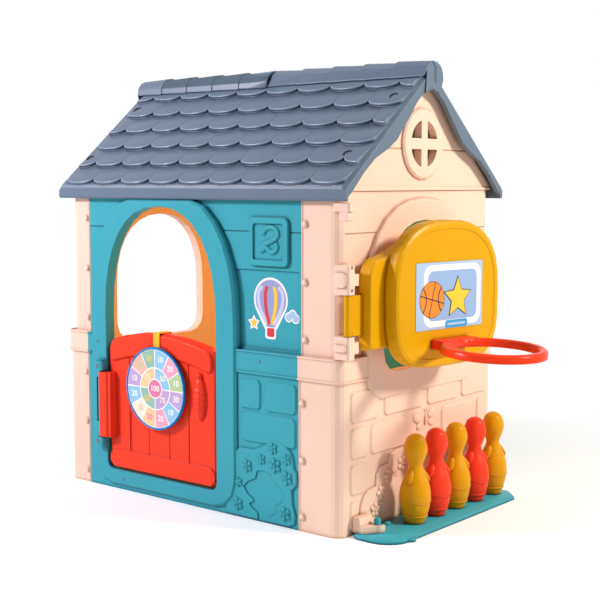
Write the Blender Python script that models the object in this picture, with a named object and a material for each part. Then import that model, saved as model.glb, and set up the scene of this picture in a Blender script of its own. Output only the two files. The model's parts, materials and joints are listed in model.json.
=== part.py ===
"""Activity house: a moulded plastic playhouse with a half door, a shutter that carries a hoop,
and a tray of skittles beside it.

House frame: X runs along the ridge, -Y is the door wall, +X is the gable with the hoop, and the
floor is Z = 0. Lengths are in metres, and angles are in degrees.
"""

import math

import bmesh
import bpy
from mathutils import Vector

# Fits
SEAT_GAP = 0.0003        # between pieces that touch
PIN_GAP = 0.0004         # round a pin in its bore
SWING_GAP = 0.005        # round the door leaf in its doorway
EMBED = 0.004            # how deep a raised feature starts inside the wall that carries it
OVERRUN = 0.02           # how far a cut runs past the faces that it cuts

# Shell of the house
HOUSE_LENGTH = 0.935
HOUSE_DEPTH = 0.664
SKIN = 0.011
CORNER_RADIUS = 0.026
UPPER_SETBACK = 0.010    # the wall above the belt stands back by this much
BELT_LOW_Z = 0.357
BELT_HEIGHT = 0.055
BELT_PROUD = 0.004
BELT_EDGE = 0.004
UPPER_WALL_HEIGHT = 0.378
WIDE_FLANGE = 0.1215     # gable mouldings turn the corner, further on one side than on the other
NARROW_FLANGE = 0.085
WALL_TOP_STEP = 0.006    # the door and back walls end this far below the gables' top edge

# Siding joints and other shallow grooves
GROOVE_WIDTH = 0.003
GROOVE_DEPTH = 0.002
SIDING_DROP = 0.096      # first siding joint below the gable wall's top edge

# Doorway and its arched surround
DOORWAY_WIDTH = 0.398
DOORWAY_SILL_Z = 0.053
DOORWAY_SPRING_HEIGHT = 0.417
DOORWAY_RISE = 0.280
DOORWAY_FOOT_RADIUS = 0.020
DOORWAY_STEPS = 16
SURROUND_WIDTH = 0.0625
SURROUND_CREST = 0.050
SURROUND_FOOT = 0.041
SURROUND_FOOT_RADIUS = 0.075
SURROUND_MARGIN = 0.015
SURROUND_PROUD = 0.009
SURROUND_EDGE = 0.006
SURROUND_EAVE_GAP = 0.0010   # below the roof's fascia
ARCH_POWER = 2.3
ARCH_STEPS = 14

# Gable window and its arched surround
WINDOW_WIDTH = 0.345
WINDOW_SILL_RISE = 0.008     # above the belt's lower edge
WINDOW_SPRING_HEIGHT = 0.155
WINDOW_RISE = 0.200
WINDOW_FOOT_RADIUS = 0.050
APRON_WIDTH = 0.064
APRON_CREST = 0.052
APRON_DROP = 0.063
APRON_FOOT_RADIUS = 0.060
APRON_PROUD = 0.006
APRON_EDGE = 0.005

# House number plate, panel for a print, and bricks beside the doorway, as shares of the space
# between the surround and the corner
PLATE_PROUD = 0.008
PLATE_EDGE = 0.002
PLATE_RIM = 0.014
PLATE_POCKET = 0.004
PLATE_RADIUS = 0.014
PLATE_HEIGHT = 0.114
PLATE_RISE = 0.202
PLATE_SPAN_SHARES = (0.18, 0.82)
PRINT_PANEL_DEPTH = 0.003
PRINT_PANEL_LOW = 0.006
PRINT_PANEL_HEIGHT = 0.186
PRINT_PANEL_SPAN_SHARES = (-0.20, 0.97)

# Bricks: courses from the floor up
BRICK_HEIGHT = 0.074
BRICK_JOINT = 0.010
BRICK_FLOOR_GAP = 0.008
BRICK_PROUD = 0.004
BRICK_EDGE = 0.004
BRICK_RADIUS = 0.010
GABLE_MARGIN = 0.036
GABLE_BRICK_SHARES = (
    ((0.000, 0.048),),
    ((0.000, 0.100),),
    ((0.000, 0.115), (0.132, 0.380), (0.640, 0.905), (0.925, 1.000)),
    ((0.000, 0.190), (0.222, 0.500), (0.530, 0.770), (0.795, 1.000)),
)
FRONT_BRICK_DROP = 0.167       # lower edge of the door wall's bricks below the belt
FRONT_BRICK_HEIGHT = 0.0735
FRONT_BRICK_JOINT = 0.0065
FRONT_BRICK_SHARES = (
    ((0.07, 0.97),),
    ((0.03, 0.40), (0.46, 0.98)),
)
BACK_BRICK_SHARES = (
    ((0.000, 0.150), (0.175, 0.420), (0.445, 0.640), (0.665, 0.860), (0.885, 1.000)),
    ((0.000, 0.240), (0.265, 0.500), (0.525, 0.760), (0.785, 1.000)),
    ((0.000, 0.120), (0.145, 0.370), (0.395, 0.610), (0.635, 0.830), (0.855, 1.000)),
    ((0.000, 0.220), (0.245, 0.450), (0.475, 0.720), (0.745, 1.000)),
)

# Flower bushes in relief: lobes of the leaf mass, and the flowers on it, as shares of a box
BUSH_PROUD = 0.005
BUSH_EDGE = 0.003
BUSH_FLOOR_GAP = 0.004
BUSH_SIDE_GAP = 0.0015        # from the seam, on the door wall
FRONT_BUSH_REACH = 0.038      # under the doorway's surround
FRONT_BUSH_HEIGHT = 0.2025
FRONT_LOBE_SHARES = (
    (0.00, 0.00), (0.90, 0.00), (0.97, 0.04), (0.98, 0.15), (0.94, 0.28), (0.93, 0.44),
    (1.00, 0.52), (1.00, 0.65), (0.96, 0.70), (0.95, 0.80), (0.92, 0.88), (0.83, 0.97),
    (0.74, 1.00), (0.63, 0.97), (0.52, 0.89), (0.41, 0.84), (0.21, 0.84), (0.14, 0.78),
    (0.12, 0.30), (0.00, 0.14),
)
FRONT_SINK_SHARES = (
    (0.47, 0.00), (0.46, 0.09), (0.39, 0.13), (0.345, 0.18), (0.41, 0.225), (0.39, 0.25),
    (0.32, 0.29), (0.265, 0.38), (0.33, 0.45), (0.43, 0.495), (0.455, 0.595), (0.545, 0.61),
    (0.665, 0.575), (0.70, 0.49), (0.79, 0.44), (0.835, 0.35), (0.80, 0.265), (0.70, 0.205),
    (0.735, 0.175), (0.71, 0.115), (0.63, 0.06), (0.61, 0.00),
)
SINK_DEPTH = 0.0025
FRONT_FLOWER_SHARES = (
    (0.32, 0.625), (0.515, 0.735), (0.675, 0.89), (0.71, 0.69), (0.86, 0.79), (0.87, 0.57),
    (0.195, 0.415), (0.185, 0.15), (0.845, 0.145),
)
GABLE_BUSH_START = 0.034      # from the near end of the gable's bricks
GABLE_BUSH_WIDTH = 0.550
GABLE_BUSH_HEIGHT = 0.171
GABLE_LOBE_SHARES = (
    (0.00, 0.00), (1.00, 0.00), (1.00, 0.42), (0.97, 0.76), (0.90, 0.90), (0.78, 0.88),
    (0.72, 0.96), (0.60, 0.92), (0.52, 1.00), (0.41, 0.95), (0.34, 1.00), (0.26, 1.00),
    (0.22, 0.94), (0.21, 0.84), (0.15, 0.82), (0.12, 0.71), (0.115, 0.56), (0.06, 0.54),
    (0.03, 0.48), (0.01, 0.36),
)
GABLE_FLOWER_SHARES = (
    (0.145, 0.46), (0.20, 0.65), (0.10, 0.24), (0.30, 0.78), (0.48, 0.80), (0.66, 0.72),
    (0.82, 0.76), (0.95, 0.70),
)
FLOWER_RADIUS = 0.0075
FLOWER_PROUD = 0.0035
FLOWER_SIDES = 5

# Snaps down the seams of the gable mouldings
SNAP_RADIUS = 0.0065
SNAP_PROUD = 0.005
SNAP_INSET = 0.012
SNAP_TIP_SHARE = 0.6
SNAP_SIDES = 5
SNAP_HEIGHT_SHARES = (0.045, 0.213, 0.383, 0.568, 0.736, 0.905)

# Gable top with its round window
GABLE_LEDGE = 0.010
GABLE_LEDGE_PROUD = 0.004
GABLE_LEDGE_MARGIN = 0.004
ROUND_WINDOW_RADIUS = 0.057
ROUND_WINDOW_RING = 0.029
ROUND_WINDOW_RISE = 0.112
ROUND_WINDOW_BAR = 0.026
ROUND_WINDOW_PROUD = 0.009
ROUND_WINDOW_EDGE = 0.005
ROUND_WINDOW_SIDES = 22
PANE_STEPS = 5

# Roof
ROOF_ANGLE = 40.0
GABLE_OVERHANG = 0.0185   # beyond the gable wall's base face
EAVE_OVERHANG = 0.008     # beyond the door wall's base face
EAVE_RISE = 0.011         # of the eave over the gable walls' top edge
FASCIA_DROP = 0.033
FASCIA_THICK = 0.010
ROOF_THICK = 0.011
BARGE_THICK = 0.012
BARGE_DEPTH = 0.045
BARGE_EDGE = 0.005
BARGE_BEVEL = 0.010       # the panel slopes down over this much at its gable ends
BARGE_BEVEL_DROP = 0.008
BARGE_WAVE_SHARES = (     # way from the eave to the ridge, and depth of the lower edge there
    (0.082, 0.56), (0.197, 0.47), (0.326, 0.53), (0.482, 0.87), (0.582, 1.00), (0.644, 0.89),
    (0.732, 0.80), (0.809, 0.64), (0.859, 0.62), (0.938, 0.71), (1.000, 0.92),
)
RIDGE_GAP = 0.0010
RIDGE_FLAT = 0.012        # half-width of the level strip where the two panels meet
TILE_ROWS = 6
TILE_WIDTH = 0.1052
TILE_LEFT_MARGIN = 0.0208
TILE_THICK = 0.008
TILE_DIP = 0.001            # how far a course's upper edge runs down into the panel
TILE_END_STEP = 0.0004      # between the ends of one course and of the next
TILE_FIRST_U = 0.004
TILE_TUCK = 0.012
TILE_TONGUE = 0.026       # how far a tile's round end drops below its sides
TILE_NOTCH = 0.054        # how far the slit between two tiles runs up from their tips
TILE_EDGE_SHARES = (-0.96, -0.62, 0.62, 0.96)

# Ridge caps
CAP_OVERHANG = 0.003
CAP_GAP = 0.0005          # between a cap's legs and the tiles
CAP_THICK = 0.005
CAP_CREST_RISE = 0.0125   # of the crest over the line where the roof's slopes would meet
CAP_LIP = 0.004           # each segment's inner end is this much higher than its outer end
CAP_CREASE = 0.024        # from the crest to the crease on the angular side
CAP_CREASE_DROP = 0.0135
CAP_CREASE_FOOT = 0.041
CAP_ROUND_FOOT = 0.045
CAP_SEGMENTS = 5
CAP_ROUND_STEPS = 5
CAP_INNER_SHARES = (0.55, 0.85)   # of the thickness, across and down at the crease
CAP_CROWN_SHARES = (0.40, 0.16)   # a point between crease and crest
END_PLATE_HALF = 0.031
END_PLATE_SHARES = (-1.0, -0.55, 0.0, 0.55, 1.0)
END_GROOVE_SHARES = ((-0.77, 0.78), (0.35, 0.30), (0.40, -0.30))

# Roof and ridge screws
SCREW_HEAD_RADIUS = 0.0085
SCREW_HEAD_THICK = 0.0035
SCREW_CROWN_SHARE = 0.75
SCREW_SHANK_RADIUS = 0.0030
SCREW_SHANK_LENGTH = 0.007
SCREW_POCKET_RADIUS = 0.0125
SCREW_POCKET_DEPTH = 0.004
SCREW_SIDES = 7
SCREW_PLACE_SHARES = ((-0.930, 0.252), (-0.905, 0.735), (0.905, 0.735), (0.880, 0.252))
RIDGE_SCREW_SHARES = (0.125, 0.905)
RIDGE_SCREW_OUT = 0.013       # from the crest, on the round side
RIDGE_SCREW_DEPTH = 0.0105    # of the pocket's floor below the crest
RIDGE_BOSS_RADIUS = 0.0135
RIDGE_BOSS_HEIGHT = 0.007

# Corner clips under the eave
CLIP_LEFT = 0.012             # the clip's left end, from the gable's upper face
CLIP_OUT = 0.0325             # its right end, from the same face
CLIP_PROUD = 0.009            # in front of the corner
CLIP_DEPTH = 0.034
CLIP_HEAD_HEIGHT = 0.019
CLIP_TOP_DROP = 0.026
CLIP_TAIL_HEIGHT = 0.022
CLIP_TAIL_WIDTH = 0.024
CLIP_TAIL_DEPTH = 0.019

# Door
DOOR_THICK = 0.028
DOOR_SIDE_HEIGHT = 0.338
DOOR_CROWN = 0.032
DOOR_RAIL_HEIGHT = 0.058
DOOR_RAIL_PROUD = 0.006
DOOR_FOOT_HEIGHT = 0.050
DOOR_FOOT_PROUD = 0.003
DOOR_EDGE = 0.006
DOOR_CORNER_RADIUS = 0.014
DOOR_TOP_RADIUS = 0.020
DOOR_RAIL_EDGE = 0.004
DOOR_RAIL_MARGIN = 0.009
DOOR_RAIL_TOP_MARGIN = 0.003
DOOR_TOP_SHARES = (0.0, 0.008, 0.025, 0.055, 0.16, 0.33, 0.50, 0.67, 0.84, 0.945, 0.975, 0.992, 1.0)
DOOR_PLANK_SHARES = (0.205, 0.385, 0.580, 0.760)
DOOR_PANEL_SHARES = (0.215, 0.750)
DOOR_PANEL_HEIGHT = 0.110
DOOR_PANEL_DEPTH = 0.002

# Door grip, a ribbed spindle moulded on the leaf
GRIP_HEIGHT = 0.112
GRIP_WIDTH = 0.046
GRIP_PROUD = 0.017
GRIP_PLACE_SHARE = 0.862
GRIP_RISE_SHARE = 0.590
GRIP_RIBS = 5
GRIP_RIB_DEPTH = 0.0022
GRIP_RIB_SHARE = 0.62         # of the grip's height that carries ribs
GRIP_SIDES = 10
GRIP_KNOB_RADIUS = 0.009

# Door hinge: a barrel on the leaf between two lugs on the surround, and one pin
DOOR_PIN_RADIUS = 0.0040
DOOR_BARREL_RADIUS = 0.0090
DOOR_BARREL_HEIGHT = 0.172
DOOR_BARREL_RISE = 0.0875
DOOR_BARREL_CLEAR = 0.0015
DOOR_BARREL_OFFSET = 0.006
DOOR_STRAP_STEP = 0.024       # where the strap's front steps back, from the hinge axis
DOOR_STRAP_REACH = 0.041
DOOR_STRAP_DROP = 0.004
DOOR_LUG_HEIGHT = 0.026
DOOR_LUG_GAP = 0.003
DOOR_LUG_REACH = 0.024
HINGE_SLOT_OUT = 0.0335
HINGE_SLOT_WIDTH = 0.010
HINGE_SLOT_RISE = 0.034
HINGE_SLOT_HEIGHT = 0.119
DOOR_PIN_HEAD_RADIUS = 0.0065
DOOR_PIN_HEAD = 0.003
HINGE_SIDES = 12

# Target that hangs over the door on a strap
TARGET_RADIUS = 0.107
TARGET_THICK = 0.006
TARGET_RIM = 0.0055
TARGET_RIM_THICK = 0.010
TARGET_DROP = 0.004
TARGET_PLACE_SHARE = 0.487
TARGET_SIDES = 30
STRAP_WIDTH = 0.022
STRAP_THICK = 0.0022
STRAP_BACK_LENGTH = 0.075
STRAP_LEAD = 0.010

# Shutter and its hinge at the corner of the hoop gable
SHUTTER_REST_ANGLE = 8.0
SHUTTER_AXIS_PROUD = 0.0165    # hinge axis beyond the gable's base face
SHUTTER_AXIS_INSET = 0.0045    # hinge axis inside the door wall's base face
SHUTTER_PIN_RADIUS = 0.0035
SHUTTER_BARREL_RADIUS = 0.0090
SHUTTER_LEAF_LENGTH = 0.0395
SHUTTER_LEAF_THICK = 0.010
SHUTTER_WIDTH = 0.446
SHUTTER_BACK = 0.005           # how far the shutter's back lies behind the hinge axis
SHUTTER_THICK = 0.031
SHUTTER_RAISE = 0.015          # of its lower edge over the lower bracket's
SHUTTER_SIDE_HEIGHT = 0.170
SHUTTER_RISE = 0.092
SHUTTER_TOP_SHARES = (         # from the middle to a side, and height over the side's top there
    (0.00, 1.00), (0.21, 0.95), (0.42, 0.82), (0.63, 0.62), (0.76, 0.50), (0.83, 0.455),
    (0.88, 0.43), (0.925, 0.375), (0.96, 0.27), (0.985, 0.14), (1.00, 0.00),
)
SHUTTER_DRAFT = 0.006
SHUTTER_EDGE = 0.004
SHUTTER_FOOT_RADIUS = 0.016
BRACKET_SPREAD = 0.094         # clear height between the two hinge brackets
BRACKET_RAISE = 0.002          # of the lower bracket over the belt
BRACKET_LOWER_HEIGHT = 0.052
BRACKET_UPPER_HEIGHT = 0.066
BRACKET_LENGTH = 0.040
BRACKET_DEPTH = 0.022
BRACKET_GRIP_THICK = 0.006     # of the ear that follows the corner of the wall
BRACKET_FACE_GAP = 0.010
BRACKET_EDGE = 0.004
BRACKET_COVER_THICK = 0.004
BRACKET_COVER_MARGIN = 0.016
BRACKET_COVER_SIDE_MARGIN = 0.0045
BRACKET_NOSE_LENGTH = 0.020
BRACKET_NOSE_THICK = 0.012
BRACKET_NOSE_HEIGHT = 0.026

# Backboard, its print and the hoop
BOARD_WIDTH = 0.370
BOARD_HEIGHT = 0.343
BOARD_THICK = 0.036
BOARD_DROP = 0.049             # of its lower edge below the shutter's
BOARD_PLACE = 0.2755           # middle of the board from the hinge axis
BOARD_TOP_POWER = 2.6
BOARD_FOOT_POWER = 3.7
BOARD_EDGE = 0.010
EDGE_SOFT_SHARE = 0.3
BOARD_RIM = 0.019
BOARD_RECESS = 0.0015
BOARD_SIDES = 36
PRINT_WIDTH = 0.236
PRINT_HEIGHT = 0.156
PRINT_THICK = 0.0008
PRINT_LOW = 0.090              # above the board's lower edge
HOOP_RADIUS = 0.122
HOOP_BAND = 0.020
HOOP_HEIGHT = 0.019
HOOP_REACH = 0.132
HOOP_RISE = 0.057
HOOP_DROOP = 3.0
HOOP_SIDES = 36
MOUNT_WIDTH = 0.128
MOUNT_HEIGHT = 0.021
MOUNT_EDGE = 0.003

# Skittle tray
TRAY_WIDTH = 0.124
TRAY_THICK = 0.011
TRAY_EDGE = 0.003
TRAY_WALL_GAP = 0.006
TRAY_NEAR_INSET = 0.026        # of its near end behind the door wall's base face
TRAY_LENGTH = 0.574
TRAY_NEAR_RADIUS = 0.058
TRAY_FAR_CHAMFER = 0.036
TRAY_STEPS = 8
PEG_RADIUS = 0.0085
PEG_HEIGHT = 0.030
PEG_TIP_SHARES = ((0.8, 0.5), (0.3, 0.8))      # of its radius: ring, and rise over its height
PEG_OUT = 0.040
PEG_PLACE = 0.056              # from the tray's near end
KNOB_RADIUS = 0.010
KNOB_HEIGHT = 0.012
KNOB_SHARES = ((1, 0), (1, 0.5), (0.8, 0.8), (0.3, 1))      # of its radius and of its height
KNOB_OUT = 0.026
KNOB_PLACE = 0.116
TAB_RADIUS = 0.012
TAB_PLACE = 0.070
ARM_HEIGHT = 0.034
ARM_HOOK_HEIGHT = 0.016
ARM_HOOK_THICK = 0.007
ARM_BLOCK_LENGTH = 0.018
ARM_BLOCK_WIDTH = 0.026

# Skittles
SKITTLE_COUNT = 5
SKITTLE_PITCH = 0.0885
SKITTLE_FIRST_PLACE = 0.1725
SKITTLE_OUT = 0.065
SKITTLE_BASE_RADIUS = 0.0220
SKITTLE_FOOT_RADIUS = 0.0300
SKITTLE_FOOT_HEIGHT = 0.018
SKITTLE_BELLY_RADIUS = 0.0368
SKITTLE_BELLY_HEIGHT = 0.068
SKITTLE_NECK_RADIUS = 0.0162
SKITTLE_NECK_HEIGHT = 0.135
SKITTLE_HEAD_RADIUS = 0.0280
SKITTLE_HEAD_HEIGHT = 0.177
SKITTLE_CROWN_HEIGHT = 0.213
SKITTLE_LIP = 0.0012           # the body's edge stands over the foot by this much
SKITTLE_LIP_SHARE = 0.9        # of the foot's height
SKITTLE_SIDES = 12
# Across and up, between two of the radii and heights above
SKITTLE_BODY_SHARES = ((0.62, 0.40), (1.00, 1.00))
SKITTLE_SHOULDER_SHARES = ((0.14, 0.32), (0.58, 0.66), (1.00, 1.00))
SKITTLE_FACE_SHARES = ((0.42, 0.38), (0.88, 0.74), (1.00, 1.00))
SKITTLE_CROWN_SHARES = ((0.20, 0.62), (0.58, 0.92), (0.90, 1.00))

# Values that follow from the sizes above
HALF_LENGTH = HOUSE_LENGTH / 2
HALF_DEPTH = HOUSE_DEPTH / 2
BELT_TOP_Z = BELT_LOW_Z + BELT_HEIGHT
GABLE_WALL_TOP_Z = BELT_TOP_Z + UPPER_WALL_HEIGHT
ROOF_HALF_LENGTH = HALF_LENGTH + GABLE_OVERHANG
EAVE_HALF_DEPTH = HALF_DEPTH + EAVE_OVERHANG
EAVE_Z = GABLE_WALL_TOP_Z + EAVE_RISE
BRACKET_LOW_Z = BELT_TOP_Z + BRACKET_RAISE
SHUTTER_LOW_Z = BRACKET_LOW_Z + SHUTTER_RAISE
BOARD_LOW_Z = SHUTTER_LOW_Z - BOARD_DROP
TRAY_NEAR_Y = TRAY_NEAR_INSET - HALF_DEPTH
SLOPE = math.radians(ROOF_ANGLE)
SEAM_LEFT_X = -HALF_LENGTH + NARROW_FLANGE
SEAM_RIGHT_X = HALF_LENGTH - WIDE_FLANGE
DOORWAY_X = SEAM_LEFT_X + SURROUND_MARGIN + SURROUND_WIDTH + DOORWAY_WIDTH / 2
SURROUND_RIGHT_X = DOORWAY_X + DOORWAY_WIDTH / 2 + SURROUND_WIDTH
SURROUND_FACE = HALF_DEPTH + SURROUND_PROUD
WINDOW_SILL_Z = BELT_LOW_Z + WINDOW_SILL_RISE

PLASTIC_ROUGHNESS = 0.42
ROOF_ROUGHNESS = 0.5
CARD_ROUGHNESS = 0.6
STEEL_ROUGHNESS = 0.35
STEEL_SHEEN = 0.8
PEACH = (0.85, 0.60, 0.42)
TEAL = (0.10, 0.42, 0.50)
SLATE = (0.09, 0.12, 0.16)
RED = (0.87, 0.07, 0.03)
MUSTARD = (0.72, 0.42, 0.01)
OLIVE_MUSTARD = (0.55, 0.30, 0.01)
ORANGE = (0.95, 0.09, 0.03)
CREAM = (0.86, 0.84, 0.78)
SKY = (0.02, 0.34, 0.75)
YELLOW = (0.95, 0.58, 0.04)
PALE_BLUE = (0.45, 0.62, 0.85)
STEEL = (0.30, 0.31, 0.32)


# Outlines, as lists of points in a plane, counter-clockwise


def arc(centre, radius, start, end, steps):
    """Points on a circle from one angle to another, both included."""
    angles = [math.radians(start + (end - start) * i / steps) for i in range(steps + 1)]
    return [(centre[0] + radius * math.cos(a), centre[1] + radius * math.sin(a)) for a in angles]


def circle(centre, radius, sides):
    return arc(centre, radius, 0, 360, sides)[:-1]


def rounded_box(low, high, radius, steps=1):
    """A rectangle between two corners with its own corners rounded."""
    (a0, b0), (a1, b1) = low, high
    radius = min(radius, (a1 - a0) / 2.1, (b1 - b0) / 2.1)
    corners = (
        ((a1 - radius, b0 + radius), -90), ((a1 - radius, b1 - radius), 0),
        ((a0 + radius, b1 - radius), 90), ((a0 + radius, b0 + radius), 180),
    )
    return [p for centre, start in corners for p in arc(centre, radius, start, start + 90, steps)]


def superellipse(centre, half_width, half_height, powers, sides):
    """A rounded square: one power for its lower half and one for its upper half."""
    points = []
    for i in range(sides):
        t = 2 * math.pi * i / sides
        c, s = math.cos(t), math.sin(t)
        power = powers[s > 0]
        a = half_width * math.copysign(abs(c) ** (2 / power), c)
        b = half_height * math.copysign(abs(s) ** (2 / power), s)
        points.append((centre[0] + a, centre[1] + b))
    return points


def arched(middle, low, half, side_height, rise, foot_radius, steps=ARCH_STEPS):
    """An arched opening or panel: rounded feet, upright sides, and a full arch over them."""
    spring = low + side_height
    feet = arc((middle - half + foot_radius, low + foot_radius), foot_radius, 180, 270, 3)
    feet += arc((middle + half - foot_radius, low + foot_radius), foot_radius, 270, 360, 3)
    top = []
    for i in range(steps + 1):
        t = math.pi * i / steps
        c, s = math.cos(t), abs(math.sin(t))
        a = half * math.copysign(abs(c) ** (2 / ARCH_POWER), c)
        top.append((middle + a, spring + rise * s ** (2 / ARCH_POWER)))
    return feet + top


def ribbon(path, width):
    """A narrow strip of even width along a path."""
    normals = []
    for (a0, b0), (a1, b1) in zip(path, path[1:]):
        length = math.hypot(a1 - a0, b1 - b0)
        normals.append(((b0 - b1) / length, (a1 - a0) / length))
    corners = [((m[0] + n[0]) / 2, (m[1] + n[1]) / 2) for m, n in zip(normals, normals[1:])]
    normals = normals[:1] + corners + normals[-1:]
    half = width / 2
    left = [(a + n[0] * half, b + n[1] * half) for (a, b), n in zip(path, normals)]
    right = [(a - n[0] * half, b - n[1] * half) for (a, b), n in zip(path, normals)]
    return left + right[::-1]


# Bodies


def in_space(points, axis, level):
    """Puts flat points at a level along an axis: X takes (y, z), Y takes (x, z), Z takes (x, y)."""
    if axis == "X":
        return [Vector((level, a, b)) for a, b in points]
    if axis == "Y":
        return [Vector((a, level, b)) for a, b in points]
    return [Vector((a, b, level)) for a, b in points]


def add_loft(bm, rings, closed=False):
    """Skins rings of equal count into one body, with flat ends or joined end to end."""
    rows = [[bm.verts.new(point) for point in ring] for ring in rings]
    following = rows[1:] + rows[:1] if closed else rows[1:]
    count = len(rows[0])
    for row, after in zip(rows, following):
        for i in range(count):
            j = (i + 1) % count
            bm.faces.new((row[i], row[j], after[j], after[i]))
    if not closed:
        bm.faces.new(rows[0])
        bm.faces.new(rows[-1])


def add_prism(bm, outline, axis, low, high):
    add_loft(bm, [in_space(outline, axis, low), in_space(outline, axis, high)])


def add_pad(bm, outline_at, axis, root, face, edge):
    """A raised pad: outline_at(inset) gives its outline, and its face edge is chamfered."""
    shoulder = face - math.copysign(edge, face - root)
    rings = [
        in_space(outline_at(0), axis, root),
        in_space(outline_at(0), axis, shoulder),
        in_space(outline_at(edge), axis, face),
    ]
    add_loft(bm, rings)


def add_turned(bm, centre, profile, sides):
    """A body turned about an upright axis: profile lists (radius, height) from bottom to top."""
    x, y, z = centre
    rings = [
        [Vector((a, b, z + height)) for a, b in circle((x, y), radius, sides)]
        for radius, height in profile
    ]
    add_loft(bm, rings)


# Scene


def clear_scene():
    for obj in list(bpy.data.objects):
        bpy.data.objects.remove(obj, do_unlink=True)


def plastic(name, colour, roughness=PLASTIC_ROUGHNESS, metallic=0.0):
    """One material per name, made when it is first asked for."""
    material = bpy.data.materials.get(name)
    if material is None:
        material = bpy.data.materials.new(name)
        material.use_nodes = True
        shader = material.node_tree.nodes["Principled BSDF"]
        shader.inputs["Base Color"].default_value = (*colour, 1)
        shader.inputs["Roughness"].default_value = roughness
        shader.inputs["Metallic"].default_value = metallic
        material.diffuse_color = (*colour, 1)
    return material


def steel():
    return plastic("steel", STEEL, STEEL_ROUGHNESS, STEEL_SHEEN)


def frame_at(name, parent, location=(0, 0, 0), turn=(0, 0, 0)):
    """An empty that carries pieces: turn is its rotation about X, Y and Z in degrees."""
    empty = bpy.data.objects.new(name, None)
    empty.location = location
    empty.rotation_euler = [math.radians(angle) for angle in turn]
    empty.parent = parent
    bpy.context.scene.collection.objects.link(empty)
    return empty


def body(name, parent, bm, material, smooth_angle=0):
    """Turns a bmesh into a named object carried by its parent, flat or smooth up to an angle."""
    bmesh.ops.recalc_face_normals(bm, faces=bm.faces)
    mesh = bpy.data.meshes.new(name)
    bm.to_mesh(mesh)
    bm.free()
    if smooth_angle:
        mesh.shade_smooth()
        mesh.set_sharp_from_angle(angle=math.radians(smooth_angle))
    else:
        mesh.shade_flat()
    mesh.materials.append(material)
    obj = bpy.data.objects.new(name, mesh)
    obj.parent = parent
    bpy.context.scene.collection.objects.link(obj)
    return obj


def join_on(obj, bm, operation, label):
    """Fuses a helper body onto an object, or cuts it away."""
    helper = body(f"{obj.name}_{label}", obj.parent, bm, obj.data.materials[0])
    helper.location = obj.location
    helper.hide_render = True
    helper.display_type = "WIRE"
    modifier = obj.modifiers.new(label, "BOOLEAN")
    modifier.operation = operation
    modifier.solver = "EXACT"
    modifier.object = helper


def fuse(obj, bm, label):
    join_on(obj, bm, "UNION", label)


def cut(obj, bm, label):
    join_on(obj, bm, "DIFFERENCE", label)


# Wall sections shared by the four walls


def wall_levels():
    """(height, outward offset) up a gable wall: base, belt, and the wall set back above it."""
    return (
        (0, 0),
        (BELT_LOW_Z - BELT_EDGE, 0),
        (BELT_LOW_Z, BELT_PROUD),
        (BELT_TOP_Z - BELT_EDGE, BELT_PROUD),
        (BELT_TOP_Z, -UPPER_SETBACK),
        (GABLE_WALL_TOP_Z, -UPPER_SETBACK),
    )


def brick_outlines(course_shares, low, high, floor=BRICK_FLOOR_GAP, height=BRICK_HEIGHT,
                   joint=BRICK_JOINT):
    """Outline makers for the bricks of each course between two ends of a wall."""
    span = high - low
    makers = []
    for course, shares in enumerate(course_shares):
        bottom = floor + course * (height + joint)
        for start, end in shares:
            corner = (low + start * span, bottom)
            opposite = (low + end * span, bottom + height)

            def outline(inset, corner=corner, opposite=opposite):
                return rounded_box(
                    (corner[0] + inset, corner[1] + inset),
                    (opposite[0] - inset, opposite[1] - inset),
                    BRICK_RADIUS - inset,
                )

            makers.append(outline)
    return makers


def add_bush(bm, flowers, low, size, lobe_shares, flower_shares, axis, face, sign):
    """A leafy mass in relief, and the hearts of its flowers, in a box against a wall face."""
    (left, bottom), (width, height) = low, size

    def lobes(inset):
        shrink_a, shrink_b = 1 - 2 * inset / width, 1 - 2 * inset / height
        return [
            (left + inset + a * width * shrink_a, bottom + inset + b * height * shrink_b)
            for a, b in lobe_shares
        ]

    add_pad(bm, lobes, axis, face - sign * EMBED, face + sign * BUSH_PROUD, BUSH_EDGE)
    for a, b in flower_shares:
        centre = (left + a * width, bottom + b * height)

        def petals(inset, centre=centre):
            return circle(centre, FLOWER_RADIUS - inset, FLOWER_SIDES)

        root = face + sign * (BUSH_PROUD - BUSH_EDGE)
        tip = face + sign * (BUSH_PROUD + FLOWER_PROUD)
        add_pad(flowers, petals, axis, root, tip, FLOWER_PROUD / 2)


# Gable walls: U-shaped mouldings that turn both corners


def gable_plan(offset):
    """Plan of the moulding at a height: outer faces moved out by offset, inner faces fixed."""
    outer_x, outer_y = HALF_LENGTH + offset, HALF_DEPTH + offset
    inner_x = HALF_LENGTH - UPPER_SETBACK - SKIN
    inner_y = HALF_DEPTH - UPPER_SETBACK - SKIN
    inner_radius = CORNER_RADIUS / 2
    r = CORNER_RADIUS
    front_end, back_end = HALF_LENGTH - WIDE_FLANGE, HALF_LENGTH - NARROW_FLANGE
    outer = [(front_end, -outer_y)]
    outer += arc((outer_x - r, -outer_y + r), r, -90, 0, 4)
    outer += arc((outer_x - r, outer_y - r), r, 0, 90, 4)
    outer += [(back_end, outer_y), (back_end, inner_y)]
    ir = inner_radius
    inner = arc((inner_x - ir, inner_y - ir), ir, 90, 0, 2)
    inner += arc((inner_x - ir, -inner_y + ir), ir, 0, -90, 2)
    return outer + inner + [(front_end, -inner_y)]


def window_outline(inset):
    return arched(
        0, WINDOW_SILL_Z + inset, WINDOW_WIDTH / 2 - inset, WINDOW_SPRING_HEIGHT - inset,
        WINDOW_RISE - inset, WINDOW_FOOT_RADIUS - inset,
    )


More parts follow.
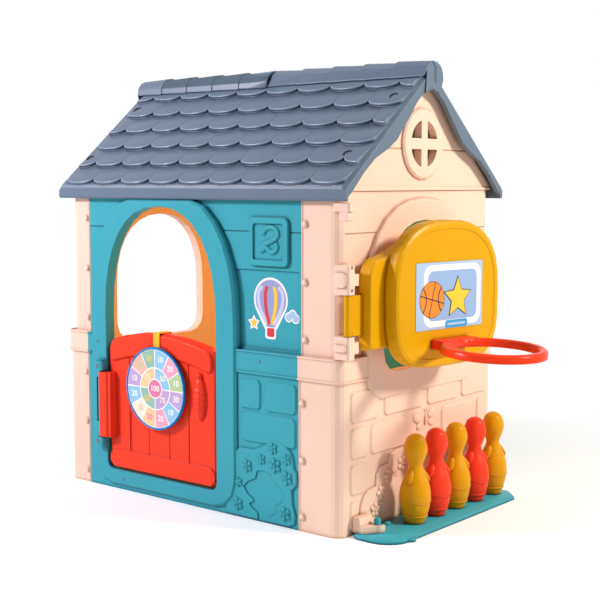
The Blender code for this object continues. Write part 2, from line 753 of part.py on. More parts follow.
def apron_outline(inset):
    return arched(
        0, WINDOW_SILL_Z - APRON_DROP + inset, WINDOW_WIDTH / 2 + APRON_WIDTH - inset,
        WINDOW_SPRING_HEIGHT + APRON_DROP - inset, WINDOW_RISE + APRON_CREST - inset,
        APRON_FOOT_RADIUS - inset,
    )


def add_snaps(bm, end_x, sign):
    """Round snaps down one flange edge of a gable moulding."""
    x = end_x + SNAP_INSET
    for share in SNAP_HEIGHT_SHARES:
        z = share * GABLE_WALL_TOP_Z
        upper = z > BELT_LOW_Z
        face = HALF_DEPTH - (UPPER_SETBACK if upper else 0)

        foot = in_space(circle((x, z), SNAP_RADIUS, SNAP_SIDES), "Y", sign * (face - EMBED))
        tip = in_space(circle((x, z), SNAP_RADIUS * SNAP_TIP_SHARE, SNAP_SIDES), "Y",
                       sign * (face + SNAP_PROUD))
        add_loft(bm, [foot, tip])


def add_siding_cuts(bm, axis, low, high, face, sign, heights):
    """Level grooves across a wall face."""
    for z in heights:
        half = GROOVE_WIDTH / 2
        outline = [(low, z - half), (high, z - half), (high, z + half), (low, z + half)]
        add_prism(bm, outline, axis, sign * (face - GROOVE_DEPTH), sign * (face + OVERRUN))


def make_gable_wall(name, end):
    bm = bmesh.new()
    add_loft(bm, [in_space(gable_plan(offset), "Z", z) for z, offset in wall_levels()])
    wall = body(name, end, bm, plastic("peach_plastic", PEACH))
    face = HALF_LENGTH - UPPER_SETBACK

    grooves = bmesh.new()
    joint_z = GABLE_WALL_TOP_Z - SIDING_DROP
    reach = HALF_DEPTH - CORNER_RADIUS
    add_siding_cuts(grooves, "X", -reach, reach, face, 1, (joint_z,))
    cut(wall, grooves, "siding")

    bricks = bmesh.new()
    low, high = -HALF_DEPTH + GABLE_MARGIN, HALF_DEPTH - GABLE_MARGIN
    for outline in brick_outlines(GABLE_BRICK_SHARES, low, high):
        add_pad(bricks, outline, "X", HALF_LENGTH - EMBED, HALF_LENGTH + BRICK_PROUD, BRICK_EDGE)
    fuse(wall, bricks, "bricks")

    bush, flowers = bmesh.new(), bmesh.new()
    add_bush(bush, flowers, (low + GABLE_BUSH_START, BUSH_FLOOR_GAP),
             (GABLE_BUSH_WIDTH, GABLE_BUSH_HEIGHT), GABLE_LOBE_SHARES, GABLE_FLOWER_SHARES,
             "X", HALF_LENGTH, 1)
    fuse(wall, bush, "bush")
    fuse(wall, flowers, "flowers")

    surround = bmesh.new()
    add_pad(surround, apron_outline, "X", face - EMBED, HALF_LENGTH + APRON_PROUD, APRON_EDGE)
    fuse(wall, surround, "surround")

    opening = bmesh.new()
    add_prism(opening, window_outline(0), "X", face - SKIN - OVERRUN, HALF_LENGTH + OVERRUN)
    cut(wall, opening, "opening")

    snaps = bmesh.new()
    add_snaps(snaps, HALF_LENGTH - WIDE_FLANGE, -1)
    add_snaps(snaps, HALF_LENGTH - NARROW_FLANGE, 1)
    fuse(wall, snaps, "snaps")
    return wall


# Door wall and back wall: panels between the flanges of the gable mouldings


def panel_body(name, frame, top_z):
    """A flat wall panel that faces -Y in its own frame."""
    inner = HALF_DEPTH - UPPER_SETBACK - SKIN
    left, right = SEAM_LEFT_X + SEAT_GAP, SEAM_RIGHT_X - SEAT_GAP
    bm = bmesh.new()
    rings = []
    for z, offset in wall_levels():
        outer = HALF_DEPTH + offset
        outline = [(left, -outer), (right, -outer), (right, -inner), (left, -inner)]
        rings.append(in_space(outline, "Z", min(z, top_z)))
    add_loft(bm, rings)
    return body(name, frame, bm, plastic("teal_plastic", TEAL))


def doorway_outline(inset):
    return arched(
        DOORWAY_X, DOORWAY_SILL_Z + inset, DOORWAY_WIDTH / 2 - inset,
        DOORWAY_SPRING_HEIGHT - inset, DOORWAY_RISE - inset, DOORWAY_FOOT_RADIUS - inset, DOORWAY_STEPS,
    )


def surround_outline(inset):
    """The arch round the doorway, cut level where the fascia hides its crest."""
    under_fascia = EAVE_Z - FASCIA_DROP - SURROUND_EAVE_GAP
    outline = arched(
        DOORWAY_X, DOORWAY_SILL_Z - SURROUND_FOOT + inset,
        DOORWAY_WIDTH / 2 + SURROUND_WIDTH - inset,
        DOORWAY_SPRING_HEIGHT + SURROUND_FOOT - inset,
        DOORWAY_RISE + SURROUND_CREST - inset, SURROUND_FOOT_RADIUS - inset, DOORWAY_STEPS,
    )
    return [(x, min(z, under_fascia - inset)) for x, z in outline]


def beside_doorway(share):
    """A place between the doorway's surround and the right seam."""
    return SURROUND_RIGHT_X + share * (SEAM_RIGHT_X - SURROUND_RIGHT_X)


def plate_outline(inset):
    left, right = (beside_doorway(share) for share in PLATE_SPAN_SHARES)
    low = BELT_TOP_Z + PLATE_RISE
    return rounded_box(
        (left + inset, low + inset), (right - inset, low + PLATE_HEIGHT - inset),
        PLATE_RADIUS - inset / 2, 3,
    )


def door_axis():
    """Place of the door's hinge axis in plan."""
    x = DOORWAY_X - DOORWAY_WIDTH / 2 - DOOR_BARREL_OFFSET
    return x, -(SURROUND_FACE + DOOR_BARREL_CLEAR + DOOR_BARREL_RADIUS)


def door_barrel_low():
    return DOORWAY_SILL_Z + DOOR_BARREL_RISE


def lug_spans():
    """Heights of the lower and the upper lug on the surround."""
    low = door_barrel_low()
    high = low + DOOR_BARREL_HEIGHT
    return (
        (low - DOOR_LUG_GAP - DOOR_LUG_HEIGHT, low - DOOR_LUG_GAP),
        (high + DOOR_LUG_GAP, high + DOOR_LUG_GAP + DOOR_LUG_HEIGHT),
    )


def lug_plan(centre, back_y):
    """Plan of a lug: round in front, wider than the pin on the side away from the doorway."""
    x, y = centre
    r = DOOR_BARREL_RADIUS
    left = x - DOOR_LUG_REACH
    front = arc((left + r, y), r, 180, 270, 3) + arc((x, y), r, 270, 360, 4)
    return front + [(x + r, back_y), (left, back_y)]


def add_door_details(wall):
    lugs, bores, slot = bmesh.new(), bmesh.new(), bmesh.new()
    x, y = door_axis()
    for low, high in lug_spans():
        add_prism(lugs, lug_plan((x, y), -(SURROUND_FACE - EMBED)), "Z", low, high)
    spans = lug_spans()
    bore = circle((x, y), DOOR_PIN_RADIUS + PIN_GAP, HINGE_SIDES)
    add_prism(bores, bore, "Z", spans[0][0] - EMBED, spans[1][1] + EMBED)
    left, low = x - HINGE_SLOT_OUT, door_barrel_low() + HINGE_SLOT_RISE
    outline = [(left, low), (left + HINGE_SLOT_WIDTH, low),
               (left + HINGE_SLOT_WIDTH, low + HINGE_SLOT_HEIGHT), (left, low + HINGE_SLOT_HEIGHT)]
    add_prism(slot, outline, "Y", -(SURROUND_FACE - PRINT_PANEL_DEPTH), -(SURROUND_FACE + OVERRUN))
    fuse(wall, lugs, "lugs")
    cut(wall, bores, "bores")
    cut(wall, slot, "hinge_slot")


def make_door_wall(frame):
    top_z = GABLE_WALL_TOP_Z - WALL_TOP_STEP
    wall = panel_body("door_wall", frame, top_z)
    face = HALF_DEPTH - UPPER_SETBACK

    grooves = bmesh.new()
    joint_z = GABLE_WALL_TOP_Z - SIDING_DROP
    left, right = SEAM_LEFT_X - OVERRUN, SEAM_RIGHT_X + OVERRUN
    add_siding_cuts(grooves, "Y", left, right, face, -1, (joint_z,))
    cut(wall, grooves, "siding")

    recess = bmesh.new()
    left, right = (beside_doorway(share) for share in PRINT_PANEL_SPAN_SHARES)
    low = BELT_TOP_Z + PRINT_PANEL_LOW
    outline = [(left, low), (right, low), (right, low + PRINT_PANEL_HEIGHT),
               (left, low + PRINT_PANEL_HEIGHT)]
    add_prism(recess, outline, "Y", -(face - PRINT_PANEL_DEPTH), -(face + OVERRUN))
    cut(wall, recess, "print_panel")

    bricks = bmesh.new()
    for outline in brick_outlines(FRONT_BRICK_SHARES, SURROUND_RIGHT_X, SEAM_RIGHT_X,
                                  BELT_LOW_Z - FRONT_BRICK_DROP, FRONT_BRICK_HEIGHT,
                                  FRONT_BRICK_JOINT):
        add_pad(bricks, outline, "Y", -(HALF_DEPTH - EMBED), -(HALF_DEPTH + BRICK_PROUD),
                BRICK_EDGE)
    fuse(wall, bricks, "bricks")

    bush, flowers = bmesh.new(), bmesh.new()
    left = SURROUND_RIGHT_X - FRONT_BUSH_REACH
    size = (SEAM_RIGHT_X - BUSH_SIDE_GAP - left, FRONT_BUSH_HEIGHT)
    add_bush(bush, flowers, (left, BUSH_FLOOR_GAP), size, FRONT_LOBE_SHARES,
             FRONT_FLOWER_SHARES, "Y", -HALF_DEPTH, -1)
    fuse(wall, bush, "bush")
    sink = bmesh.new()
    outline = [(left + a * size[0], BUSH_FLOOR_GAP + b * size[1]) for a, b in FRONT_SINK_SHARES]
    add_prism(sink, outline, "Y", -(HALF_DEPTH + BUSH_PROUD - SINK_DEPTH),
              -(HALF_DEPTH + BUSH_PROUD + OVERRUN))
    cut(wall, sink, "bush_sink")
    fuse(wall, flowers, "flowers")

    plate = bmesh.new()
    add_pad(plate, plate_outline, "Y", -(face - EMBED), -(face + PLATE_PROUD), PLATE_EDGE)
    fuse(wall, plate, "number_plate")
    pocket = bmesh.new()
    add_prism(pocket, plate_outline(PLATE_RIM), "Y",
              -(face + PLATE_PROUD - PLATE_POCKET), -(face + PLATE_PROUD + OVERRUN))
    cut(wall, pocket, "plate_pocket")

    surround = bmesh.new()
    add_pad(surround, surround_outline, "Y", -(face - EMBED), -SURROUND_FACE, SURROUND_EDGE)
    fuse(wall, surround, "surround")
    opening = bmesh.new()
    add_prism(opening, doorway_outline(0), "Y", -(face - SKIN - OVERRUN),
              -(SURROUND_FACE + OVERRUN))
    cut(wall, opening, "doorway")
    add_door_details(wall)
    return wall


def make_back_wall(frame):
    wall = panel_body("back_wall", frame, GABLE_WALL_TOP_Z - WALL_TOP_STEP)
    face = HALF_DEPTH - UPPER_SETBACK
    grooves = bmesh.new()
    heights = [GABLE_WALL_TOP_Z - SIDING_DROP * n for n in (1, 2, 3)]
    left, right = SEAM_LEFT_X - OVERRUN, SEAM_RIGHT_X + OVERRUN
    add_siding_cuts(grooves, "Y", left, right, face, -1, heights)
    cut(wall, grooves, "siding")
    bricks = bmesh.new()
    low, high = SEAM_LEFT_X + BRICK_JOINT, SEAM_RIGHT_X - BRICK_JOINT
    for outline in brick_outlines(BACK_BRICK_SHARES, low, high):
        add_pad(bricks, outline, "Y", -(HALF_DEPTH - EMBED), -(HALF_DEPTH + BRICK_PROUD),
                BRICK_EDGE)
    fuse(wall, bricks, "bricks")
    return wall


# Roof section, in the Y and Z of a panel whose eave is on the -Y side


def roof_point(u, w):
    """Place on the roof: u up the slope from the eave, w outward from its outer face."""
    y = -EAVE_HALF_DEPTH + u * math.cos(SLOPE) - w * math.sin(SLOPE)
    return y, EAVE_Z + u * math.sin(SLOPE) + w * math.cos(SLOPE)


def roof_z(y, w):
    """Height of the roof at a depth y, w outward from its outer face."""
    return EAVE_Z + (y + EAVE_HALF_DEPTH) * math.tan(SLOPE) + w / math.cos(SLOPE)


def slope_length():
    return EAVE_HALF_DEPTH / math.cos(SLOPE)


def roof_outline():
    """Section of the panel: the slope, and the fascia that hangs at the eave."""
    bottom = EAVE_Z - FASCIA_DROP
    front, ridge = -EAVE_HALF_DEPTH, -RIDGE_GAP / 2
    inner = front + FASCIA_THICK
    flat_z = roof_z(-RIDGE_FLAT, 0)
    return [
        (front + BARGE_EDGE / 2, bottom), (inner, bottom), (inner, roof_z(inner, -ROOF_THICK)),
        (ridge, roof_z(ridge, -ROOF_THICK)), (ridge, flat_z), (-RIDGE_FLAT, flat_z),
        roof_point(BARGE_EDGE, 0), (front, EAVE_Z - BARGE_EDGE), (front, bottom + BARGE_EDGE),
    ]


def barge_low(y):
    """Height of the barge board's wavy lower edge at a depth y."""
    way = (y + EAVE_HALF_DEPTH) / EAVE_HALF_DEPTH
    (s0, d0) = BARGE_WAVE_SHARES[0]
    for s1, d1 in BARGE_WAVE_SHARES[1:]:
        if way <= s1:
            break
        s0, d0 = s1, d1
    depth = d0 + (d1 - d0) * min(1, max(0, (way - s0) / (s1 - s0)))
    return roof_z(y, -BARGE_DEPTH * depth)


def barge_outline(drop):
    """Section of the board that closes a gable end of the panel, its top edge lowered by drop."""
    bottom = EAVE_Z - FASCIA_DROP
    front, ridge = -EAVE_HALF_DEPTH, -RIDGE_GAP / 2
    inner = front + FASCIA_THICK
    wave = [-EAVE_HALF_DEPTH * (1 - share) for share, _ in BARGE_WAVE_SHARES[:-1]]
    flat_z = roof_z(-RIDGE_FLAT, -drop)
    lower = [(inner, bottom), (inner, barge_low(inner))]
    lower += [(y, barge_low(y)) for y in wave] + [(ridge, barge_low(ridge))]
    upper = [(ridge, flat_z), (-RIDGE_FLAT, flat_z), roof_point(BARGE_EDGE, -drop),
             (front, EAVE_Z - BARGE_EDGE - drop), (front, bottom + BARGE_EDGE)]
    return [(front + BARGE_EDGE / 2, bottom)] + lower + upper


def tile_pitch():
    return (slope_length() - TILE_FIRST_U - TILE_TUCK) / TILE_ROWS


def tile_span(row):
    """Where a course of tiles starts and ends up the slope."""
    low = TILE_FIRST_U + row * tile_pitch()
    return low, low + tile_pitch() + (TILE_TUCK if row < TILE_ROWS - 1 else 0)


def tile_surface(row, u):
    """Height of a course of tiles over the panel: thick at its lower edge, sunk at its top."""
    low, high = tile_span(row)
    return (TILE_THICK + TILE_DIP) * (high - u) / (high - low) - TILE_DIP


def tile_row(row):
    """Rings of one course of tiles: scalloped lower edge, upper edge under the next course."""
    low_u, high_u = tile_span(row)
    first = TILE_LEFT_MARGIN - ROOF_HALF_LENGTH
    step = TILE_END_STEP * (1 + row % 2)
    left = first + step
    right = ROOF_HALF_LENGTH - BARGE_BEVEL - SEAT_GAP - step
    cusp = first if row % 2 == 0 else first - TILE_WIDTH / 2
    edge = []
    while cusp < right:
        middle = cusp + TILE_WIDTH / 2
        tips = []
        for share in TILE_EDGE_SHARES:
            fall = (1 - abs(share) ** ARCH_POWER) ** (1 / ARCH_POWER)
            tips.append((middle + share * TILE_WIDTH / 2, low_u + TILE_TONGUE * (1 - fall)))
        edge += [(cusp, low_u + TILE_NOTCH)] + tips
        cusp += TILE_WIDTH
    edge.append((cusp, low_u + TILE_NOTCH))
    outline = clip_line(edge, left, right) + [(right, high_u), (left, high_u)]
    low_ring = [Vector((x, *roof_point(u, -EMBED))) for x, u in outline]
    high_ring = [Vector((x, *roof_point(u, tile_surface(row, u)))) for x, u in outline]
    return [low_ring, high_ring]


def clip_line(line, left, right):
    """The part of a line between two upright limits, with its ends on them."""
    kept = []
    for (a0, b0), (a1, b1) in zip(line, line[1:]):
        for limit in (left, right):
            if a0 < limit < a1:
                kept.append((limit, b0 + (b1 - b0) * (limit - a0) / (a1 - a0)))
        if left < a1 < right:
            kept.append((a1, b1))
    return kept


def screw_places():
    reach = ROOF_HALF_LENGTH
    return [(a * reach, b * slope_length()) for a, b in SCREW_PLACE_SHARES]


def add_slope_disc(bm, place, radius, low_w, high_w, sides=SCREW_SIDES):
    """A round body whose axis is square to the slope."""
    x, u = place
    rings = []
    for w in (low_w, high_w):
        rings.append([
            Vector((x + a, *roof_point(u + b, w))) for a, b in circle((0, 0), radius, sides)
        ])
    add_loft(bm, rings)


def make_roof_panel(name, side):
    shoulder = ROOF_HALF_LENGTH - BARGE_BEVEL
    bm = bmesh.new()
    add_prism(bm, roof_outline(), "X", -shoulder + SEAT_GAP, shoulder - SEAT_GAP)
    panel = body(name, side, bm, plastic("slate_plastic", SLATE, ROOF_ROUGHNESS))
    for label, sign in (("left_barge", -1), ("right_barge", 1)):
        barge = bmesh.new()
        inner = sign * (ROOF_HALF_LENGTH - BARGE_THICK)
        rings = [
            in_space(barge_outline(0), "X", inner),
            in_space(barge_outline(0), "X", sign * shoulder),
            in_space(barge_outline(BARGE_BEVEL_DROP), "X", sign * ROOF_HALF_LENGTH),
        ]
        add_loft(barge, rings)
        fuse(panel, barge, label)
    for row in range(TILE_ROWS):
        tiles = bmesh.new()
        add_loft(tiles, tile_row(row))
        fuse(panel, tiles, f"tiles_{row + 1}")
    pockets, bores = bmesh.new(), bmesh.new()
    floor = pocket_floor()
    for place in screw_places():
        add_slope_disc(pockets, place, SCREW_POCKET_RADIUS, floor, OVERRUN)
        add_slope_disc(bores, place, SCREW_SHANK_RADIUS + PIN_GAP,
                       floor - SCREW_SHANK_LENGTH - SEAT_GAP, OVERRUN)
    cut(panel, pockets, "screw_pockets")
    cut(panel, bores, "screw_bores")
    return panel


def pocket_floor():
    return -SCREW_POCKET_DEPTH / 4


def make_roof_screws(prefix, side):
    floor = pocket_floor() + SEAT_GAP
    for number, place in enumerate(screw_places(), 1):
        bm = bmesh.new()
        x, u = place
        profile = (
            (SCREW_SHANK_RADIUS, floor - SCREW_SHANK_LENGTH),
            (SCREW_SHANK_RADIUS, floor),
            (SCREW_HEAD_RADIUS, floor),
            (SCREW_HEAD_RADIUS * SCREW_CROWN_SHARE, floor + SCREW_HEAD_THICK),
        )
        rings = []
        for radius, w in profile:
            rings.append([
                Vector((x + a, *roof_point(u + b, w)))
                for a, b in circle((0, 0), radius, SCREW_SIDES)
            ])
        add_loft(bm, rings)
        body(f"{prefix}_screw_{number}", side, bm, steel())


# Gable tops


def gable_top_outline():
    """The triangle over a gable wall, cut along the underside of the roof."""
    half = HALF_DEPTH - UPPER_SETBACK
    low = GABLE_WALL_TOP_Z + SEAT_GAP
    under = -ROOF_THICK - SEAT_GAP
    return [(-half, low), (half, low), (half, roof_z(-half, under)), (0, roof_z(0, under)),
            (-half, roof_z(-half, under))]


def round_window_z():
    return GABLE_WALL_TOP_Z + ROUND_WINDOW_RISE


def quarter_outline(quarter):
    """One pane of the round window between the cross bars."""
    half = ROUND_WINDOW_BAR / 2
    radius = ROUND_WINDOW_RADIUS
    start = math.degrees(math.asin(half / radius))
    pane = [(half, half)] + arc((0, 0), radius, start, 90 - start, PANE_STEPS)
    turn = math.radians(90 * quarter)
    c, s = math.cos(turn), math.sin(turn)
    return [(a * c - b * s, round_window_z() + a * s + b * c) for a, b in pane]


def make_gable_top(name, end):
    face = HALF_LENGTH - UPPER_SETBACK
    bm = bmesh.new()
    add_prism(bm, gable_top_outline(), "X", face - SKIN, face)
    top = body(name, end, bm, plastic("peach_plastic", PEACH))

    ledge = bmesh.new()
    half = HALF_DEPTH - UPPER_SETBACK - GABLE_LEDGE_MARGIN
    low = GABLE_WALL_TOP_Z + SEAT_GAP
    section = [(face - EMBED, low), (face + GABLE_LEDGE_PROUD, low),
               (face + GABLE_LEDGE_PROUD, low + GABLE_LEDGE / 2), (face, low + GABLE_LEDGE),
               (face - EMBED, low + GABLE_LEDGE)]
    rings = [[Vector((a, y, b)) for a, b in section] for y in (-half, half)]
    add_loft(ledge, rings)
    fuse(top, ledge, "ledge")

    grooves = bmesh.new()
    joint = round_window_z() - ROUND_WINDOW_BAR / 2
    add_siding_cuts(grooves, "X", -HALF_DEPTH, HALF_DEPTH, face, 1, (joint,))
    cut(top, grooves, "siding")

    ring = bmesh.new()
    outer = ROUND_WINDOW_RADIUS + ROUND_WINDOW_RING
    centre = (0, round_window_z())
    add_pad(ring, lambda inset: circle(centre, outer - inset, ROUND_WINDOW_SIDES), "X", face - EMBED,
            face + ROUND_WINDOW_PROUD, ROUND_WINDOW_EDGE)
    fuse(top, ring, "ring")
    panes = bmesh.new()
    for quarter in range(4):
        add_prism(panes, quarter_outline(quarter), "X", face - SKIN - OVERRUN, face + OVERRUN)
    cut(top, panes, "panes")
    return top


# Ridge caps


def cap_seat():
    """How far a cap's feet stand off the roof, so that they rest on the top course of tiles."""
    foot = max(CAP_CREASE_FOOT, CAP_ROUND_FOOT) + CAP_LIP
    return tile_surface(TILE_ROWS - 1, slope_length() - foot / math.cos(SLOPE)) + CAP_GAP


def crest_z(lift=0.0):
    return roof_z(0, 0) + CAP_CREST_RISE + lift


def cap_line(lift, inset):
    """Half of a cap's section: angular on the door wall's side, round on the other."""
    foot = CAP_CREASE_FOOT + lift / 2 - inset
    across, down = (share * inset for share in CAP_INNER_SHARES)
    crease = CAP_CREASE + lift / 2 - across
    crease_z = crest_z(lift) - CAP_CREASE_DROP - down
    crown, fall = CAP_CROWN_SHARES
    line = [
        (-foot, roof_z(-foot, cap_seat())), (-crease, crease_z),
        (-crease * crown, crest_z(lift) - inset - CAP_CREASE_DROP * fall),
    ]
    far = CAP_ROUND_FOOT + lift / 2 - inset
    far_z = roof_z(-far, cap_seat())
    rise = crest_z(lift) - inset - far_z
    for step in range(CAP_ROUND_STEPS + 1):
        angle = math.pi / 2 * (1 - step / CAP_ROUND_STEPS)
        c, s = max(0.0, math.cos(angle)), math.sin(angle)
        line.append((far * c ** (2 / ARCH_POWER), far_z + rise * s ** (2 / ARCH_POWER)))
    return line


def cap_section(lift):
    return cap_line(lift, 0) + cap_line(lift, CAP_THICK)[::-1]


def end_plate_outline():
    """The plate that closes the outer end of a cap and covers the tops of the barge boards."""
    line = cap_line(0, 0)
    bottom = []
    for share in END_PLATE_SHARES:
        y = share * END_PLATE_HALF
        bottom.append((y, barge_low(-abs(y)) if y else barge_low(-RIDGE_GAP / 2)))
    return line[1:] + bottom[::-1]


def end_groove_path():
    """The seam line across the end plate, from the crease down to its lower edge."""
    low = barge_low(-RIDGE_GAP / 2)
    middle = roof_z(0, 0) - BARGE_DEPTH / 2
    return [(a * END_PLATE_HALF, middle + b * (crest_z() - low)) for a, b in END_GROOVE_SHARES]


def cap_span():
    """Where a cap starts and ends along the ridge, and the length of one segment."""
    start, end = RIDGE_GAP / 2, ROOF_HALF_LENGTH + CAP_OVERHANG
    return start, end, (end - start) / CAP_SEGMENTS


def cap_fall(y):
    """How far the round side of a cap lies below its crest at a depth y."""
    foot = CAP_ROUND_FOOT
    rise = crest_z() - roof_z(-foot, cap_seat())
    return rise * (1 - (1 - (y / foot) ** ARCH_POWER) ** (1 / ARCH_POWER))


def make_ridge_cap(name, half_frame):
    """One half of the ridge: segments like overlapping tiles, each highest at its inner end."""
    start, end, pitch = cap_span()
    bm = bmesh.new()
    rings = []
    for segment in range(CAP_SEGMENTS):
        low = start + segment * pitch
        step = SEAT_GAP if segment else 0
        rings.append(in_space(cap_section(CAP_LIP), "X", low + step))
        rings.append(in_space(cap_section(0), "X", low + pitch))
    add_loft(bm, rings)
    cap = body(name, half_frame, bm, plastic("slate_plastic", SLATE, ROOF_ROUGHNESS), 40)
    plate, groove = bmesh.new(), bmesh.new()
    add_prism(plate, end_plate_outline(), "X", ROOF_HALF_LENGTH + SEAT_GAP, end)
    fuse(cap, plate, "end_plate")
    add_prism(groove, ribbon(end_groove_path(), GROOVE_DEPTH), "X", end - GROOVE_DEPTH / 2,
              end + OVERRUN)
    cut(cap, groove, "end_groove")
    bosses, pockets, bores = bmesh.new(), bmesh.new(), bmesh.new()
    under_skin = cap_fall(RIDGE_SCREW_OUT + RIDGE_BOSS_RADIUS) + CAP_THICK / 4
    boss = ((RIDGE_BOSS_RADIUS, -RIDGE_BOSS_HEIGHT),
            (RIDGE_BOSS_RADIUS, RIDGE_SCREW_DEPTH - under_skin))
    for x, y, z in ridge_screw_places():
        add_turned(bosses, (x, y, z), boss, SCREW_SIDES)
        add_turned(pockets, (x, y, z), ((SCREW_HEAD_RADIUS + PIN_GAP, 0),
                                        (SCREW_HEAD_RADIUS + PIN_GAP, OVERRUN)), SCREW_SIDES)
        radius = SCREW_SHANK_RADIUS + PIN_GAP
        add_turned(bores, (x, y, z), ((radius, -OVERRUN), (radius, CAP_THICK)), SCREW_SIDES)
    fuse(cap, bosses, "screw_bosses")
    cut(cap, pockets, "screw_pockets")
    cut(cap, bores, "screw_bores")
    return cap


def ridge_screw_places():
    """Where the floors of the screw pockets lie, on the round side of the crest."""
    start, _, pitch = cap_span()
    places = []
    for share in RIDGE_SCREW_SHARES:
        x = share * ROOF_HALF_LENGTH
        way = (x - start) / pitch % 1
        places.append((x, RIDGE_SCREW_OUT, crest_z(CAP_LIP * (1 - way)) - RIDGE_SCREW_DEPTH))
    return places


def make_ridge_screws(prefix, half_frame):
    profile = (
        (SCREW_SHANK_RADIUS, -SCREW_SHANK_LENGTH), (SCREW_SHANK_RADIUS, 0),
        (SCREW_HEAD_RADIUS, 0), (SCREW_HEAD_RADIUS * SCREW_CROWN_SHARE, SCREW_HEAD_THICK),
    )
    for number, (x, y, z) in enumerate(ridge_screw_places(), 1):
        bm = bmesh.new()
        add_turned(bm, (x, y, z + SEAT_GAP), profile, SCREW_SIDES)
        body(f"{prefix}_screw_{number}", half_frame, bm, steel())


# Corner clips


def corner_grip(left, right, front, depth, grip_thick):
    """Plan of a piece that hugs the front corner of the right gable moulding."""
    seat_x = HALF_LENGTH - UPPER_SETBACK + SEAT_GAP
    grip_x = seat_x + grip_thick
    grip_y = -(HALF_DEPTH - UPPER_SETBACK - CORNER_RADIUS)
    radius = CORNER_RADIUS + SEAT_GAP
    across = max(0, left - (seat_x - radius)) / radius
    turn = -math.degrees(math.acos(min(1, across)))
    corner = arc((seat_x - radius, grip_y), radius, 0, turn, 8)
    plan = [(left, front), (right - BRACKET_EDGE, front), (right, front + BRACKET_EDGE),
            (right, depth), (grip_x, depth), (grip_x, grip_y)]
    return plan + corner[:-1] + [(left, corner[-1][1])]


def make_corner_clip(name, frame):
    """A clip on the corner of a gable moulding, just under the eave."""
    face = HALF_LENGTH - UPPER_SETBACK
    front = -(HALF_DEPTH - UPPER_SETBACK) - CLIP_PROUD
    top = GABLE_WALL_TOP_Z - CLIP_TOP_DROP
    bm = bmesh.new()
    plan = corner_grip(face - CLIP_LEFT, face + CLIP_OUT, front, front + CLIP_DEPTH / 2,
                       BRACKET_GRIP_THICK)
    add_prism(bm, plan, "Z", top - CLIP_HEAD_HEIGHT, top)
    clip = body(name, frame, bm, plastic("peach_plastic", PEACH))
    tail = bmesh.new()
    right = face + CLIP_OUT - BRACKET_EDGE
    outline = rounded_box((right - CLIP_TAIL_WIDTH, top - CLIP_HEAD_HEIGHT - CLIP_TAIL_HEIGHT),
                          (right, top - CLIP_HEAD_HEIGHT / 2), CLIP_TAIL_WIDTH / 3, 2)
    add_prism(tail, outline, "Y", front + SEAT_GAP, front + CLIP_TAIL_DEPTH)
    fuse(clip, tail, "tail")


# Door


def door_span():
    left = DOORWAY_X - DOORWAY_WIDTH / 2 + SWING_GAP
    return left, DOORWAY_X + DOORWAY_WIDTH / 2 - SWING_GAP


def door_low_z():
    return DOORWAY_SILL_Z + SWING_GAP


def door_top(share):
    """Height of the crowned top edge, at a share of the leaf's width."""
    return door_low_z() + DOOR_SIDE_HEIGHT + DOOR_CROWN * (1 - (2 * share - 1) ** 2)


def end_drop(place, span, radius):
    """How far a rounded corner lowers an edge, at a place between the ends of its span."""
    near = min(place, span - place)
    return radius - math.sqrt(radius ** 2 - max(0.0, radius - near) ** 2)


def door_outline(inset, low):
    """The leaf above a height: round lower corners and a crowned top with round ends."""
    left, right = door_span()
    left, right = left + inset, right - inset
    radius = DOOR_CORNER_RADIUS - inset
    low += inset
    points = arc((left + radius, low + radius), radius, 180, 270, 3)
    points += arc((right - radius, low + radius), radius, 270, 360, 3)
    span = right - left
    for share in DOOR_TOP_SHARES[::-1]:
        drop = end_drop(share * span, span, DOOR_TOP_RADIUS - inset)
        points.append((left + share * span, door_top(share) - inset - drop))
    return points


def rail_outline(inset):
    """The top rail: crowned above, and its lower edge follows the crown."""
    left, right = door_span()
    left, right = left + DOOR_RAIL_MARGIN + inset, right - DOOR_RAIL_MARGIN - inset
    span = right - left
    radius = DOOR_TOP_RADIUS - inset
    below, above = [], []
    for share in DOOR_TOP_SHARES:
        x, drop = left + share * span, end_drop(share * span, span, radius)
        below.append((x, door_top(share) - DOOR_RAIL_HEIGHT + inset + drop))
        above.append((x, door_top(share) - DOOR_RAIL_TOP_MARGIN - inset - drop))
    return below + above[::-1]


def door_faces():
    """Depths of the leaf's front and back faces, measured toward the door wall's outside."""
    front = HALF_DEPTH + BELT_PROUD
    return front, front - DOOR_THICK


